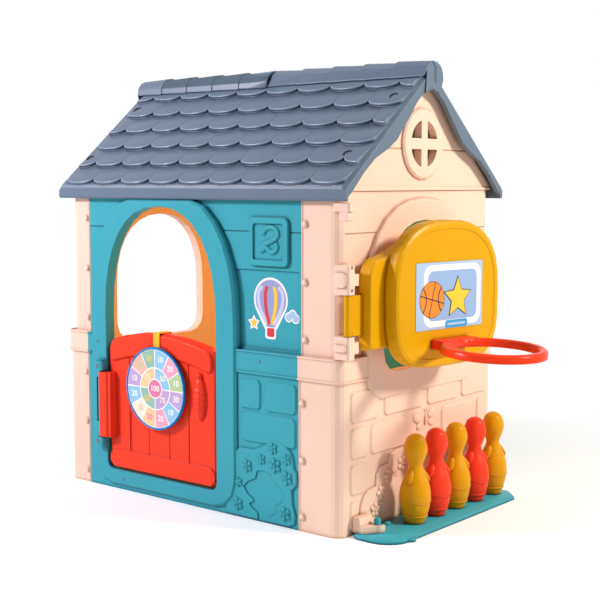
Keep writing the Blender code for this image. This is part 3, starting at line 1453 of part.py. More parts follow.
def make_door(hinge):
    """The leaf, in the frame of its hinge axis."""
    front, back = door_faces()
    ax, ay = door_axis()

    def here(points):
        return [(a - ax, b) for a, b in points]

    bm = bmesh.new()
    low = door_low_z()
    rings = [
        in_space(here(door_outline(DOOR_EDGE, low)), "Y", -front - ay),
        in_space(here(door_outline(0, low)), "Y", -front + DOOR_EDGE - ay),
        in_space(here(door_outline(0, low)), "Y", -back - DOOR_EDGE - ay),
        in_space(here(door_outline(DOOR_EDGE, low)), "Y", -back - ay),
    ]
    add_loft(bm, rings)
    door = body("door", hinge, bm, plastic("red_plastic", RED))

    planks = bmesh.new()
    left, right = door_span()
    foot_top = low + DOOR_FOOT_HEIGHT
    for share in DOOR_PLANK_SHARES:
        x = left + share * (right - left) - ax
        half = GROOVE_WIDTH / 2
        top = door_top(share) - DOOR_RAIL_HEIGHT - GROOVE_WIDTH
        outline = [(x - half, foot_top), (x + half, foot_top), (x + half, top), (x - half, top)]
        add_prism(planks, outline, "Y", -front + GROOVE_DEPTH - ay, -front - OVERRUN - ay)
    cut(door, planks, "planks")

    panel = bmesh.new()
    a, b = (left + share * (right - left) - ax for share in DOOR_PANEL_SHARES)
    outline = rounded_box((a, foot_top + GROOVE_WIDTH),
                          (b, foot_top + DOOR_PANEL_HEIGHT), DOOR_CORNER_RADIUS / 2)
    add_prism(panel, outline, "Y", -front + DOOR_PANEL_DEPTH / 2 - ay, -front - OVERRUN - ay)
    cut(door, panel, "panel")

    rail = bmesh.new()
    edge = DOOR_RAIL_EDGE
    rings = [
        in_space(here(rail_outline(edge)), "Y", -(front + DOOR_RAIL_PROUD) - ay),
        in_space(here(rail_outline(0)), "Y", -(front + DOOR_RAIL_PROUD - edge) - ay),
        in_space(here(rail_outline(0)), "Y", -(back - DOOR_RAIL_PROUD + edge) - ay),
        in_space(here(rail_outline(edge)), "Y", -(back - DOOR_RAIL_PROUD) - ay),
    ]
    add_loft(rail, rings)
    fuse(door, rail, "top_rail")

    foot = bmesh.new()

    def foot_outline(inset):
        corner = (left + DOOR_EDGE / 2 + inset - ax, low + DOOR_EDGE / 2 + inset)
        opposite = (right - DOOR_EDGE / 2 - inset - ax, foot_top - inset)
        return rounded_box(corner, opposite, DOOR_CORNER_RADIUS - inset)

    add_pad(foot, foot_outline, "Y", -front + EMBED - ay, -(front + DOOR_FOOT_PROUD) - ay,
            DOOR_FOOT_PROUD / 2)
    fuse(door, foot, "foot_rail")
    fuse(door, door_grip(ax, ay, front), "grip")
    fuse(door, grip_knob(ax, ay, front), "grip_knob")
    add_door_barrel(door, ax, ay, front)
    return door


def door_grip(ax, ay, front):
    """A spindle that stands proud of the leaf, ribbed round its middle."""
    left, right = door_span()
    middle_x = left + GRIP_PLACE_SHARE * (right - left) - ax
    middle_z = door_low_z() + GRIP_RISE_SHARE * (DOOR_SIDE_HEIGHT + DOOR_CROWN)
    half = GRIP_RIB_SHARE
    alongs = [-0.985, -0.90, -0.75]
    alongs += [half * (i / GRIP_RIBS - 1) for i in range(2 * GRIP_RIBS + 1)]
    alongs += [0.75, 0.90, 0.985]
    rings = []
    for i, along in enumerate(alongs):
        swell = math.sqrt(1 - along ** 2)
        ribbed = abs(along) <= half and i % 2 == 0
        depth = GRIP_RIB_DEPTH if ribbed else 0
        a, b = swell * GRIP_WIDTH / 2 - depth, swell * GRIP_PROUD - depth
        z = middle_z + along * GRIP_HEIGHT / 2
        rings.append([
            Vector((middle_x + a * c, -front - ay - b * s, z))
            for c, s in circle((0, 0), 1, GRIP_SIDES)
        ])
    bm = bmesh.new()
    add_loft(bm, rings)
    return bm


def grip_knob(ax, ay, front):
    """The round button over the grip."""
    left, right = door_span()
    x = left + GRIP_PLACE_SHARE * (right - left) - ax
    z = door_low_z() + GRIP_RISE_SHARE * (DOOR_SIDE_HEIGHT + DOOR_CROWN) + GRIP_HEIGHT / 2
    bm = bmesh.new()

    def outline(inset):
        return circle((x, z), GRIP_KNOB_RADIUS - inset, GRIP_SIDES)

    add_pad(bm, outline, "Y", EMBED - front - ay, -front - GRIP_KNOB_RADIUS - ay, DOOR_RAIL_EDGE)
    return bm


def add_door_barrel(door, ax, ay, front):
    """The knuckle between the wall's lugs, and the strap that joins it to the leaf."""
    low = door_barrel_low()
    high = low + DOOR_BARREL_HEIGHT
    left, _ = door_span()
    face = -DOOR_BARREL_RADIUS
    stepped = face + DOOR_STRAP_DROP
    into_leaf = -front - ay + EMBED
    edge = left + SEAT_GAP - ax
    plan = arc((0, 0), DOOR_BARREL_RADIUS, 90, 270, HINGE_SIDES // 2)
    plan += [(DOOR_STRAP_STEP, face), (DOOR_STRAP_STEP + DOOR_STRAP_DROP, stepped),
             (DOOR_STRAP_REACH - DOOR_STRAP_DROP, stepped), (DOOR_STRAP_REACH, -front - ay),
             (DOOR_STRAP_REACH, into_leaf), (edge, into_leaf), (edge, DOOR_BARREL_RADIUS)]
    barrel = bmesh.new()
    add_prism(barrel, plan, "Z", low, high)
    fuse(door, barrel, "barrel")
    bore = bmesh.new()
    add_prism(bore, circle((0, 0), DOOR_PIN_RADIUS + PIN_GAP, HINGE_SIDES), "Z",
              low - OVERRUN, high + OVERRUN)
    cut(door, bore, "barrel_bore")


def make_door_pin(frame):
    x, y = door_axis()
    (low, _), (_, high) = lug_spans()
    seat = high + SEAT_GAP
    bm = bmesh.new()
    profile = ((DOOR_PIN_RADIUS, low - seat), (DOOR_PIN_RADIUS, 0), (DOOR_PIN_HEAD_RADIUS, 0),
               (DOOR_PIN_HEAD_RADIUS, DOOR_PIN_HEAD / 2), (DOOR_PIN_RADIUS, DOOR_PIN_HEAD))
    add_turned(bm, (x, y, seat), profile, HINGE_SIDES)
    body("door_hinge_pin", frame, bm, plastic("teal_plastic", TEAL))


# Target


def target_place():
    """Middle of the target on the leaf, its back face's depth, and the strap's top."""
    left, right = door_span()
    x = left + TARGET_PLACE_SHARE * (right - left)
    rail_low = door_top(TARGET_PLACE_SHARE) - DOOR_RAIL_HEIGHT
    top = rail_low + DOOR_RAIL_HEIGHT / 2 - TARGET_DROP
    return x, top - TARGET_RADIUS


def make_target(carrier):
    """Disc, rim and strap, in the frame of the hinge axis."""
    ax, ay = door_axis()
    x, z = target_place()
    x -= ax
    front, back = door_faces()
    rail_front, rail_back = front + DOOR_RAIL_PROUD, back - DOOR_RAIL_PROUD
    strap_in = rail_front + SEAT_GAP
    disc_back = strap_in + STRAP_THICK + SEAT_GAP
    disc_front = disc_back + TARGET_THICK

    inner = TARGET_RADIUS - TARGET_RIM
    bm = bmesh.new()
    add_prism(bm, circle((x, z), inner - SEAT_GAP, TARGET_SIDES), "Y", -disc_back - ay,
              -disc_front - ay)
    body("target_disc", carrier, bm, plastic("cream_board", CREAM, CARD_ROUGHNESS))

    middle = (disc_back + disc_front) / 2
    low, high = middle - TARGET_RIM_THICK / 2, middle + TARGET_RIM_THICK / 2
    low = max(low, disc_back)
    section = ((inner, low), (TARGET_RADIUS - TARGET_RIM / 3, low), (TARGET_RADIUS, middle),
               (TARGET_RADIUS - TARGET_RIM / 3, high), (inner, high))
    rim = bmesh.new()
    rings = [
        [Vector((x + radius * c, -depth - ay, z + radius * s)) for radius, depth in section]
        for c, s in circle((0, 0), 1, TARGET_SIDES)
    ]
    add_loft(rim, rings, closed=True)
    body("target_rim", carrier, rim, plastic("sky_plastic", SKY), 40)
    make_target_strap(carrier, x, z, rail_front, rail_back, ay)


def make_target_strap(carrier, x, z, rail_front, rail_back, ay):
    """A band that hangs over the door, in front down to behind the disc."""
    share = TARGET_PLACE_SHARE
    top = door_top(share) + SEAT_GAP + STRAP_WIDTH ** 2 * DOOR_CROWN / DOORWAY_WIDTH ** 2
    inner_front, inner_back = rail_front + SEAT_GAP, rail_back - SEAT_GAP
    outer_front, outer_back = inner_front + STRAP_THICK, inner_back - STRAP_THICK
    front_low = z + TARGET_RADIUS - TARGET_RIM - STRAP_LEAD
    back_low = top - STRAP_BACK_LENGTH
    section = [
        (outer_front, front_low), (outer_front, top), (outer_front - STRAP_THICK, top + STRAP_THICK),
        (outer_back + STRAP_THICK, top + STRAP_THICK), (outer_back, top), (outer_back, back_low),
        (inner_back, back_low), (inner_back, top), (inner_front, top), (inner_front, front_low),
    ]
    bm = bmesh.new()
    rings = [
        [Vector((x + side * STRAP_WIDTH / 2, -depth - ay, height)) for depth, height in section]
        for side in (-1, 1)
    ]
    add_loft(bm, rings)
    body("target_strap", carrier, bm, plastic("yellow_strap", YELLOW, CARD_ROUGHNESS))


# Shutter, in the frame of its hinge: X is outward and Y runs from the axis along the shutter


def shutter_axis():
    return HALF_LENGTH + SHUTTER_AXIS_PROUD, -(HALF_DEPTH - SHUTTER_AXIS_INSET)


def bracket_spans():
    """Heights of the lower and the upper hinge bracket."""
    low_top = BRACKET_LOW_Z + BRACKET_LOWER_HEIGHT
    high_low = low_top + BRACKET_SPREAD
    return (BRACKET_LOW_Z, low_top), (high_low, high_low + BRACKET_UPPER_HEIGHT)


def shutter_outline(inset):
    """Upright sides with rounded shoulders, and a gentle arch between them."""
    middle, half = SHUTTER_LEAF_LENGTH + SHUTTER_WIDTH / 2, SHUTTER_WIDTH / 2 - inset
    low, top = SHUTTER_LOW_Z + inset, SHUTTER_LOW_Z + SHUTTER_SIDE_HEIGHT
    radius = SHUTTER_FOOT_RADIUS - inset
    feet = arc((middle - half + radius, low + radius), radius, 180, 270, 3)
    feet += arc((middle + half - radius, low + radius), radius, 270, 360, 3)
    rise = SHUTTER_RISE - inset
    left = [(middle - a * half, top + b * rise) for a, b in SHUTTER_TOP_SHARES]
    right = [(middle + a * half, top + b * rise) for a, b in reversed(SHUTTER_TOP_SHARES)]
    return feet + right + left[1:]


def make_shutter(hinge):
    back = -SHUTTER_BACK
    front = back + SHUTTER_THICK
    bm = bmesh.new()
    edge, soft = SHUTTER_EDGE, SHUTTER_EDGE * EDGE_SOFT_SHARE
    rings = [
        in_space(shutter_outline(edge / 2), "X", back),
        in_space(shutter_outline(0), "X", back + edge / 2),
        in_space(shutter_outline(SHUTTER_DRAFT), "X", front - edge),
        in_space(shutter_outline(SHUTTER_DRAFT + soft), "X", front - soft),
        in_space(shutter_outline(SHUTTER_DRAFT + edge), "X", front),
    ]
    add_loft(bm, rings)
    shutter = body("shutter", hinge, bm, plastic("mustard_plastic", MUSTARD))
    (_, low), (high, _) = bracket_spans()
    low, high = low + SEAT_GAP * 4, high - SEAT_GAP * 4
    leaf = bmesh.new()
    half = SHUTTER_LEAF_THICK / 2
    turned = arc((0, 0), SHUTTER_BARREL_RADIUS, 125, 415, HINGE_SIDES - 2)
    reach = SHUTTER_LEAF_LENGTH + EMBED
    plan = turned + [(half, reach), (-half + SEAT_GAP, reach)]
    add_prism(leaf, plan, "Z", low, high)
    fuse(shutter, leaf, "leaf")
    bore = bmesh.new()
    add_prism(bore, circle((0, 0), SHUTTER_PIN_RADIUS + PIN_GAP, HINGE_SIDES), "Z",
              low - OVERRUN, high + OVERRUN)
    cut(shutter, bore, "pin_bore")
    return shutter


def make_shutter_pin(frame):
    x, y = shutter_axis()
    (low, _), (_, high) = bracket_spans()
    low, high = low + EMBED, high - EMBED
    bm = bmesh.new()
    add_turned(bm, (x, y, low), ((SHUTTER_PIN_RADIUS, 0), (SHUTTER_PIN_RADIUS, high - low)),
               HINGE_SIDES)
    body("shutter_hinge_pin", frame, bm, plastic("peach_plastic", PEACH))


def bracket_plan():
    """Plan of a bracket: it grips the corner and reaches out round the hinge pin."""
    x, y = shutter_axis()
    right = x + BRACKET_FACE_GAP
    front = y - BRACKET_FACE_GAP
    left = right - BRACKET_LENGTH
    return left, right, front


def make_bracket(name, frame, low, high):
    left, right, front = bracket_plan()
    x, y = shutter_axis()
    depth = front + BRACKET_DEPTH
    bm = bmesh.new()
    plan = corner_grip(left, right, front, depth, BRACKET_GRIP_THICK)
    add_prism(bm, plan, "Z", low, high)
    bracket = body(name, frame, bm, plastic("peach_plastic", PEACH))

    nose = bmesh.new()
    middle = (low + high) / 2
    tip = depth + BRACKET_NOSE_LENGTH
    section = [(right - BRACKET_NOSE_THICK, depth - EMBED), (right, depth - EMBED),
               (right, tip - EMBED), (right - EMBED, tip), (right - BRACKET_NOSE_THICK, tip)]
    low_nose = middle - BRACKET_NOSE_HEIGHT / 2
    add_prism(nose, section, "Z", low_nose, low_nose + BRACKET_NOSE_HEIGHT)
    fuse(bracket, nose, "nose")
    bore = bmesh.new()
    is_lower = high < SHUTTER_LOW_Z + BRACKET_LOWER_HEIGHT
    bore_low = low + EMBED - SEAT_GAP if is_lower else low - OVERRUN
    bore_high = high + OVERRUN if is_lower else high - EMBED + SEAT_GAP
    add_prism(bore, circle((x, y), SHUTTER_PIN_RADIUS + PIN_GAP, HINGE_SIDES), "Z",
              bore_low, bore_high)
    cut(bracket, bore, "pin_bore")
    return bracket


def make_bracket_cover(name, frame, low, high):
    """The snap cover on the face of a bracket."""
    left, right, front = bracket_plan()
    margin, side = BRACKET_COVER_MARGIN, BRACKET_COVER_SIDE_MARGIN
    bm = bmesh.new()

    def outline(inset):
        return rounded_box((left + side + inset, low + margin + inset),
                           (right - BRACKET_EDGE - side - inset, high - margin - inset),
                           BRACKET_EDGE)

    add_pad(bm, outline, "Y", front - SEAT_GAP, front - SEAT_GAP - BRACKET_COVER_THICK,
            BRACKET_COVER_THICK / 3)
    body(name, frame, bm, plastic("peach_plastic", PEACH))


# Backboard, print and hoop


def board_outline(inset):
    centre = (BOARD_PLACE, BOARD_LOW_Z + BOARD_HEIGHT / 2)
    return superellipse(centre, BOARD_WIDTH / 2 - inset, BOARD_HEIGHT / 2 - inset,
                        (BOARD_FOOT_POWER, BOARD_TOP_POWER), BOARD_SIDES)


def board_faces():
    back = SHUTTER_THICK - SHUTTER_BACK + SEAT_GAP
    return back, back + BOARD_THICK


def board_panel_face():
    """Depth of the board's recessed middle, which carries the print and the hoop."""
    return board_faces()[1] - BOARD_RECESS


def make_backboard(hinge):
    back, front = board_faces()
    soft = BOARD_EDGE * EDGE_SOFT_SHARE
    bm = bmesh.new()
    rings = [
        in_space(board_outline(0), "X", back),
        in_space(board_outline(0), "X", front - BOARD_EDGE),
        in_space(board_outline(soft), "X", front - soft),
        in_space(board_outline(BOARD_EDGE), "X", front),
        in_space(board_outline(BOARD_RIM), "X", front),
        in_space(board_outline(BOARD_RIM + BOARD_RECESS), "X", board_panel_face()),
    ]
    add_loft(bm, rings)
    return body("backboard", hinge, bm, plastic("mustard_plastic", MUSTARD))


def make_board_print(hinge):
    front = board_panel_face()
    low = BOARD_LOW_Z + PRINT_LOW
    outline = rounded_box((BOARD_PLACE - PRINT_WIDTH / 2, low),
                          (BOARD_PLACE + PRINT_WIDTH / 2, low + PRINT_HEIGHT), PRINT_THICK * 4)
    bm = bmesh.new()
    add_prism(bm, outline, "X", front + SEAT_GAP, front + SEAT_GAP + PRINT_THICK)
    body("board_print", hinge, bm, plastic("pale_blue_print", PALE_BLUE, CARD_ROUGHNESS))


def make_hoop(hinge):
    """A ring on a flat bracket, drooping a little from the board."""
    front = board_panel_face()
    z = BOARD_LOW_Z + HOOP_RISE
    tilt = frame_at("hoop_tilt", hinge, (front + SEAT_GAP, BOARD_PLACE, z), (0, HOOP_DROOP, 0))
    inner, outer = HOOP_RADIUS - HOOP_BAND, HOOP_RADIUS
    half, edge = HOOP_HEIGHT / 2, HOOP_BAND / 4
    section = ((inner, -half), (outer, -half), (outer, half - edge), (outer - edge, half),
               (inner + edge, half), (inner, half - edge))
    bm = bmesh.new()
    rings = [
        [Vector((HOOP_REACH + radius * c, radius * s, height)) for radius, height in section]
        for c, s in circle((0, 0), 1, HOOP_SIDES)
    ]
    add_loft(bm, rings, closed=True)
    hoop = body("hoop", tilt, bm, plastic("orange_plastic", ORANGE), 40)
    mount = bmesh.new()
    tip = HOOP_REACH - inner * math.cos(math.asin(MOUNT_WIDTH / 2 / outer)) - HOOP_BAND / 2
    lean = math.tan(math.radians(HOOP_DROOP)) * MOUNT_HEIGHT / 2
    plan = [(lean, -MOUNT_WIDTH / 2), (tip, -MOUNT_WIDTH / 2), (tip, MOUNT_WIDTH / 2),
            (lean, MOUNT_WIDTH / 2)]
    add_prism(mount, plan, "Z", -MOUNT_HEIGHT / 2, MOUNT_HEIGHT / 2)
    fuse(hoop, mount, "mount")
    bite = bmesh.new()
    add_turned(bite, (HOOP_REACH, 0, -HOOP_HEIGHT), ((inner, 0), (inner, 2 * HOOP_HEIGHT)),
               HOOP_SIDES)
    cut(hoop, bite, "inside")
    return hoop


# Skittle tray


def tray_x():
    return HALF_LENGTH + TRAY_WALL_GAP


def tray_outline(inset):
    """Plan of the tray: a round near end, a straight outer edge and a clipped far corner."""
    left, right = tray_x() + inset, tray_x() + TRAY_WIDTH - inset
    near, far = TRAY_NEAR_Y + inset, TRAY_NEAR_Y + TRAY_LENGTH - inset
    r = TRAY_NEAR_RADIUS - inset
    points = arc((left + r / 2, near + r / 2), r / 2, 180, 270, TRAY_STEPS // 2)
    points += arc((right - r, near + r), r, 270, 360, TRAY_STEPS)
    points += [(right, far - TRAY_FAR_CHAMFER), (right - TRAY_FAR_CHAMFER, far), (left, far)]
    return points


def make_tray(frame):
    bm = bmesh.new()
    rings = [
        in_space(tray_outline(0), "Z", 0),
        in_space(tray_outline(0), "Z", TRAY_THICK - TRAY_EDGE),
        in_space(tray_outline(TRAY_EDGE), "Z", TRAY_THICK),
    ]
    add_loft(bm, rings)
    tray = body("skittle_tray", frame, bm, plastic("teal_plastic", TEAL))
    studs = bmesh.new()
    x = tray_x()
    peg = (x + PEG_OUT, TRAY_NEAR_Y + PEG_PLACE, TRAY_THICK - EMBED)
    profile = [(PEG_RADIUS, 0), (PEG_RADIUS, PEG_HEIGHT)]
    profile += [(PEG_RADIUS * a, PEG_HEIGHT + PEG_RADIUS * b) for a, b in PEG_TIP_SHARES]
    add_turned(studs, peg, profile, SCREW_SIDES)
    knob = (x + KNOB_OUT, TRAY_NEAR_Y + KNOB_PLACE, TRAY_THICK - EMBED)
    profile = [(KNOB_RADIUS * a, KNOB_HEIGHT * b) for a, b in KNOB_SHARES]
    add_turned(studs, knob, profile, SCREW_SIDES)
    fuse(tray, studs, "studs")
    tab = bmesh.new()
    centre = (x + TRAY_WIDTH, TRAY_NEAR_Y + TAB_PLACE)
    add_prism(tab, circle(centre, TAB_RADIUS, SCREW_SIDES), "Z", TRAY_EDGE / 2,
              TRAY_THICK - TRAY_EDGE / 2)
    fuse(tray, tab, "tab")
    return tray


def make_tray_arm(frame):
    """The arm on the gable wall: a block at the wall, and a hook round the tray's peg."""
    wall_x = HALF_LENGTH + max(BRICK_PROUD, BUSH_PROUD) + SEAT_GAP
    peg_x, peg_y = tray_x() + PEG_OUT, TRAY_NEAR_Y + PEG_PLACE
    hook = PEG_RADIUS + PIN_GAP + ARM_HOOK_THICK
    low, high = TRAY_THICK + SEAT_GAP, TRAY_THICK + SEAT_GAP + ARM_HEIGHT
    step = low + ARM_HOOK_HEIGHT
    side = [(wall_x, low), (peg_x + hook, low), (peg_x + hook, step), (peg_x - hook, step),
            (wall_x + ARM_BLOCK_LENGTH, high), (wall_x, high)]
    bm = bmesh.new()
    add_prism(bm, side, "Y", peg_y - hook - ARM_BLOCK_WIDTH, peg_y + PEG_RADIUS)
    arm = body("tray_arm", frame, bm, plastic("peach_plastic", PEACH))
    shape = bmesh.new()
    back = peg_y + PEG_RADIUS + OVERRUN
    plan = [(wall_x + ARM_BLOCK_LENGTH, peg_y - hook - ARM_BLOCK_WIDTH - OVERRUN)]
    plan += [(peg_x + hook + OVERRUN, peg_y - hook - ARM_BLOCK_WIDTH - OVERRUN)]
    plan += [(peg_x + hook + OVERRUN, peg_y)]
    plan += arc((peg_x, peg_y), hook, 0, -60, 5)
    add_prism(shape, plan, "Z", low - OVERRUN, high + OVERRUN)
    cut(arm, shape, "hook_front")
    slot = bmesh.new()
    half = PEG_RADIUS + PIN_GAP
    plan = arc((peg_x, peg_y), half, 180, 360, 8) + [(peg_x + half, back), (peg_x - half, back)]
    add_prism(slot, plan, "Z", low - OVERRUN, high + OVERRUN)
    cut(arm, slot, "slot")
    return arm


# Skittles


def skittle_profile():
    """(radius, height) from the foot to the crown of the head."""
    foot, foot_z = SKITTLE_FOOT_RADIUS, SKITTLE_FOOT_HEIGHT
    stations = (
        ((foot, foot_z), (SKITTLE_BELLY_RADIUS, SKITTLE_BELLY_HEIGHT), SKITTLE_BODY_SHARES),
        ((SKITTLE_BELLY_RADIUS, SKITTLE_BELLY_HEIGHT), (SKITTLE_NECK_RADIUS, SKITTLE_NECK_HEIGHT),
         SKITTLE_SHOULDER_SHARES),
        ((SKITTLE_NECK_RADIUS, SKITTLE_NECK_HEIGHT), (SKITTLE_HEAD_RADIUS, SKITTLE_HEAD_HEIGHT),
         SKITTLE_FACE_SHARES),
        ((SKITTLE_HEAD_RADIUS, SKITTLE_HEAD_HEIGHT), (0, SKITTLE_CROWN_HEIGHT),
         SKITTLE_CROWN_SHARES),
    )
    profile = [(SKITTLE_BASE_RADIUS, 0), (foot - SKITTLE_LIP, foot_z * SKITTLE_LIP_SHARE),
               (foot, foot_z)]
    for (r0, z0), (r1, z1), shares in stations:
        profile += [(r0 + (r1 - r0) * a, z0 + (z1 - z0) * b) for a, b in shares]
    return profile


def make_skittle(number, frame):
    x = tray_x() + SKITTLE_OUT
    y = TRAY_NEAR_Y + SKITTLE_FIRST_PLACE + (number - 1) * SKITTLE_PITCH
    bm = bmesh.new()
    add_turned(bm, (0, 0, 0), skittle_profile(), SKITTLE_SIDES)
    red = number % 2 == 0
    material = plastic("red_plastic", RED) if red else plastic("olive_plastic", OLIVE_MUSTARD)
    skittle = body(f"skittle_{number}", frame, bm, material, 60)
    skittle.location = (x, y, TRAY_THICK + SEAT_GAP)
    return skittle


# Assembly


def make_house(house):
    """Everything that stands still."""
    right_end = frame_at("right_end", house)
    left_end = frame_at("left_end", house, turn=(0, 0, 180))
    make_gable_wall("right_gable_wall", right_end)
    make_gable_wall("left_gable_wall", left_end)
    make_gable_top("right_gable_top", right_end)
    make_gable_top("left_gable_top", left_end)
    make_door_wall(right_end)
    make_back_wall(left_end)
    make_roof_panel("front_roof", right_end)
    make_roof_panel("back_roof", left_end)
    make_roof_screws("front_roof", right_end)
    make_roof_screws("back_roof", left_end)
    make_ridge_cap("right_ridge_cap", right_end)
    make_ridge_cap("left_ridge_cap", left_end)
    make_ridge_screws("right_ridge", right_end)
    make_ridge_screws("left_ridge", left_end)
    make_corner_clip("front_corner_clip", right_end)
    make_corner_clip("back_corner_clip", left_end)
    make_door_pin(house)


def make_moving_door(house):
    x, y = door_axis()
    hinge = frame_at("door_hinge", house, (x, y, 0))
    make_door(hinge)
    make_target(hinge)


def make_moving_shutter(house):
    x, y = shutter_axis()
    for name, (low, high) in zip(("lower", "upper"), bracket_spans()):
        make_bracket(f"{name}_hinge_bracket", house, low, high)
        make_bracket_cover(f"{name}_bracket_cover", house, low, high)
    make_shutter_pin(house)
    hinge = frame_at("shutter_hinge", house, (x, y, 0), (0, 0, -SHUTTER_REST_ANGLE))
    make_shutter(hinge)
    make_backboard(hinge)
    make_board_print(hinge)
    make_hoop(hinge)


def make_games(house):
    make_tray(house)
    make_tray_arm(house)
    for number in range(1, SKITTLE_COUNT + 1):
        make_skittle(number, house)


def centre_on_floor(house):
    """Moves the whole house so that the origin is under the middle of its extents."""
    bpy.context.view_layer.update()
    graph = bpy.context.evaluated_depsgraph_get()
    corners = []
    for obj in bpy.data.objects:
        if obj.type == "MESH" and not obj.hide_render:
            shape = obj.evaluated_get(graph)
            corners += [obj.matrix_world @ Vector(corner) for corner in shape.bound_box]
    for i in (0, 1):
        values = [corner[i] for corner in corners]
        house.location[i] = -(min(values) + max(values)) / 2


def main():
    clear_scene()
    house = frame_at("activity_house", None)
    make_house(house)
    make_moving_door(house)
    make_moving_shutter(house)
    make_games(house)
    centre_on_floor(house)


main()
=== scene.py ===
import json
import math

import bmesh
import bpy
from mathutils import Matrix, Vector
from mathutils.bvhtree import BVHTree

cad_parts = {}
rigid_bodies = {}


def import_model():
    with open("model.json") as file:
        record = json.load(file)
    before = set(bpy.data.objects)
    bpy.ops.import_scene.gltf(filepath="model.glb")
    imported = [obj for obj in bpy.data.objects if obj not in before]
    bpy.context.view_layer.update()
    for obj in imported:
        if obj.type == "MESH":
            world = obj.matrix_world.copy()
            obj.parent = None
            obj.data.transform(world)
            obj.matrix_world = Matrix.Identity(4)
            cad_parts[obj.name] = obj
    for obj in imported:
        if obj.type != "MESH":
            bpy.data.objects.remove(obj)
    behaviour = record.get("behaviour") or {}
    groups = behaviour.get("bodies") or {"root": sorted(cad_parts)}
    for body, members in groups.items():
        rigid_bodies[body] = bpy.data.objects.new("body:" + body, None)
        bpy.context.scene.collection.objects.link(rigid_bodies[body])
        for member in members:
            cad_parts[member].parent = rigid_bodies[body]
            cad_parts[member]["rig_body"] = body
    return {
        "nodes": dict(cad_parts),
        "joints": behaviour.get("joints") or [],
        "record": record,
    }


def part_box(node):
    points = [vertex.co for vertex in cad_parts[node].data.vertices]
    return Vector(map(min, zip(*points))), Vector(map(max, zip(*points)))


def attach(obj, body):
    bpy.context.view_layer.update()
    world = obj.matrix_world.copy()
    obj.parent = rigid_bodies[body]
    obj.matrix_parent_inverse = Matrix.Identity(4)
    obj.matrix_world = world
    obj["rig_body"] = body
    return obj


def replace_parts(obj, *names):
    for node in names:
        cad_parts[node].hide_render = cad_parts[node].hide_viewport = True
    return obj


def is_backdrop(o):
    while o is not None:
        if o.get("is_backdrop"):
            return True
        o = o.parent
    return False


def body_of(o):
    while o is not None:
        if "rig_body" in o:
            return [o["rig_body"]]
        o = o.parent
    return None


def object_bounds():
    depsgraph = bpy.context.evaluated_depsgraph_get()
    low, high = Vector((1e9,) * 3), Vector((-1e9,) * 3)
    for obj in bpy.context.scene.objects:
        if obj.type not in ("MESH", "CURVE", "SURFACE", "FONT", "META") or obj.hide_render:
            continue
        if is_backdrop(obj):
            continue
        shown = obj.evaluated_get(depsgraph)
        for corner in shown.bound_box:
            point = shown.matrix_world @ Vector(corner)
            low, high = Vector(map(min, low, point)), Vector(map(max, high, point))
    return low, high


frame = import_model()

cad_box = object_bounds()

# Where the house stands in the frame: its middle, on the floor
front_roof_low, front_roof_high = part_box("front_roof")
back_roof_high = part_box("back_roof")[1]
HOUSE_X = (front_roof_low.x + front_roof_high.x) / 2
HOUSE_Y = (front_roof_low.y + back_roof_high.y) / 2

# Sizes that the CAD model has too, in metres from the middle of the house: the walls
HALF_LENGTH = 0.4675
HALF_DEPTH = 0.332
UPPER_SETBACK = 0.010
CORNER_RADIUS = 0.026
WALL_TOP_Z = 0.790
BELT_LOW_Z = 0.357
BELT_TOP_Z = 0.412
BELT_PROUD = 0.004
SURROUND_LEFT_X = -0.3675
SURROUND_RIGHT_X = 0.1555
SEAM_LEFT_X = -0.3825
SEAM_RIGHT_X = 0.346
APRON_HALF = 0.2365
BUSH_PROUD = 0.005
SNAP_HEIGHT_SHARES = (0.045, 0.213, 0.383, 0.568, 0.736, 0.905)
SNAP_INSET = 0.012

# The roof and its screws
ROOF_HALF_LENGTH = 0.486
EAVE_HALF_DEPTH = 0.340
EAVE_Z = 0.801
ROOF_SLOPE = math.radians(40)
TILE_ROWS = 6
TILE_WIDTH = 0.1052
TILE_LEFT_MARGIN = 0.0208
TILE_RIGHT_MARGIN = 0.0103
TILE_THICK = 0.008
TILE_DIP = 0.001
TILE_FIRST_U = 0.004
TILE_TUCK = 0.012
TILE_TONGUE = 0.026
TILE_NOTCH = 0.054
ARCH_POWER = 2.3
SCREW_PLACE_SHARES = ((-0.930, 0.252), (-0.905, 0.735), (0.905, 0.735), (0.880, 0.252))
SCREW_FLOOR = -0.0007
SCREW_HEAD_THICK = 0.0035

# The shutter, the target and the skittles
SHUTTER_REST = math.radians(8)
TARGET_PLACE = (-0.111, 0.288)
TARGET_RADIUS = 0.1012
SKITTLE_COUNT = 5

# Colours as they look, in 8-bit sRGB
COLOURS = {
    "peach": (250, 213, 192),
    # painted light: the peach indoors, as if lit through the thin walls
    "peach_lit_through": (255, 212, 146),
    "teal": (62, 166, 182),
    "slate": (92, 111, 131),
    # painted highlight: the paler slate of the tiles' lips
    "slate_lip_highlight": (136, 155, 176),
    "red": (250, 64, 36),
    "mustard": (224, 164, 0),
    "olive": (222, 155, 0),
    "orange": (250, 62, 22),
    "sky": (0, 140, 215),
    "yellow": (255, 195, 30),
    "steel": (128, 136, 148),
    "white": (250, 250, 248),
    "cream": (246, 240, 226),
    "pale_blue": (172, 199, 234),
    "mid_blue": (146, 178, 224),
    "cyan": (10, 158, 218),
    "black": (34, 27, 32),
    "ball": (252, 138, 12),
    "lilac": (150, 158, 206),
    "pale_lilac": (200, 206, 234),
    "gold": (250, 202, 36),
    "crimson": (218, 36, 52),
    "green": (140, 190, 172),
    "leaf": (178, 208, 150),
    "blue": (140, 200, 232),
    "pink": (238, 164, 190),
    "rose": (226, 120, 160),
    "violet": (190, 164, 212),
    "apricot": (250, 206, 150),
    "salmon": (246, 186, 170),
    "ivory": (246, 238, 214),
}
FULL_LEVEL = 255
SRGB_KNEE = 0.04
SRGB_SLOPE = 12.92
SRGB_OFFSET = 0.055
SRGB_POWER = 2.4
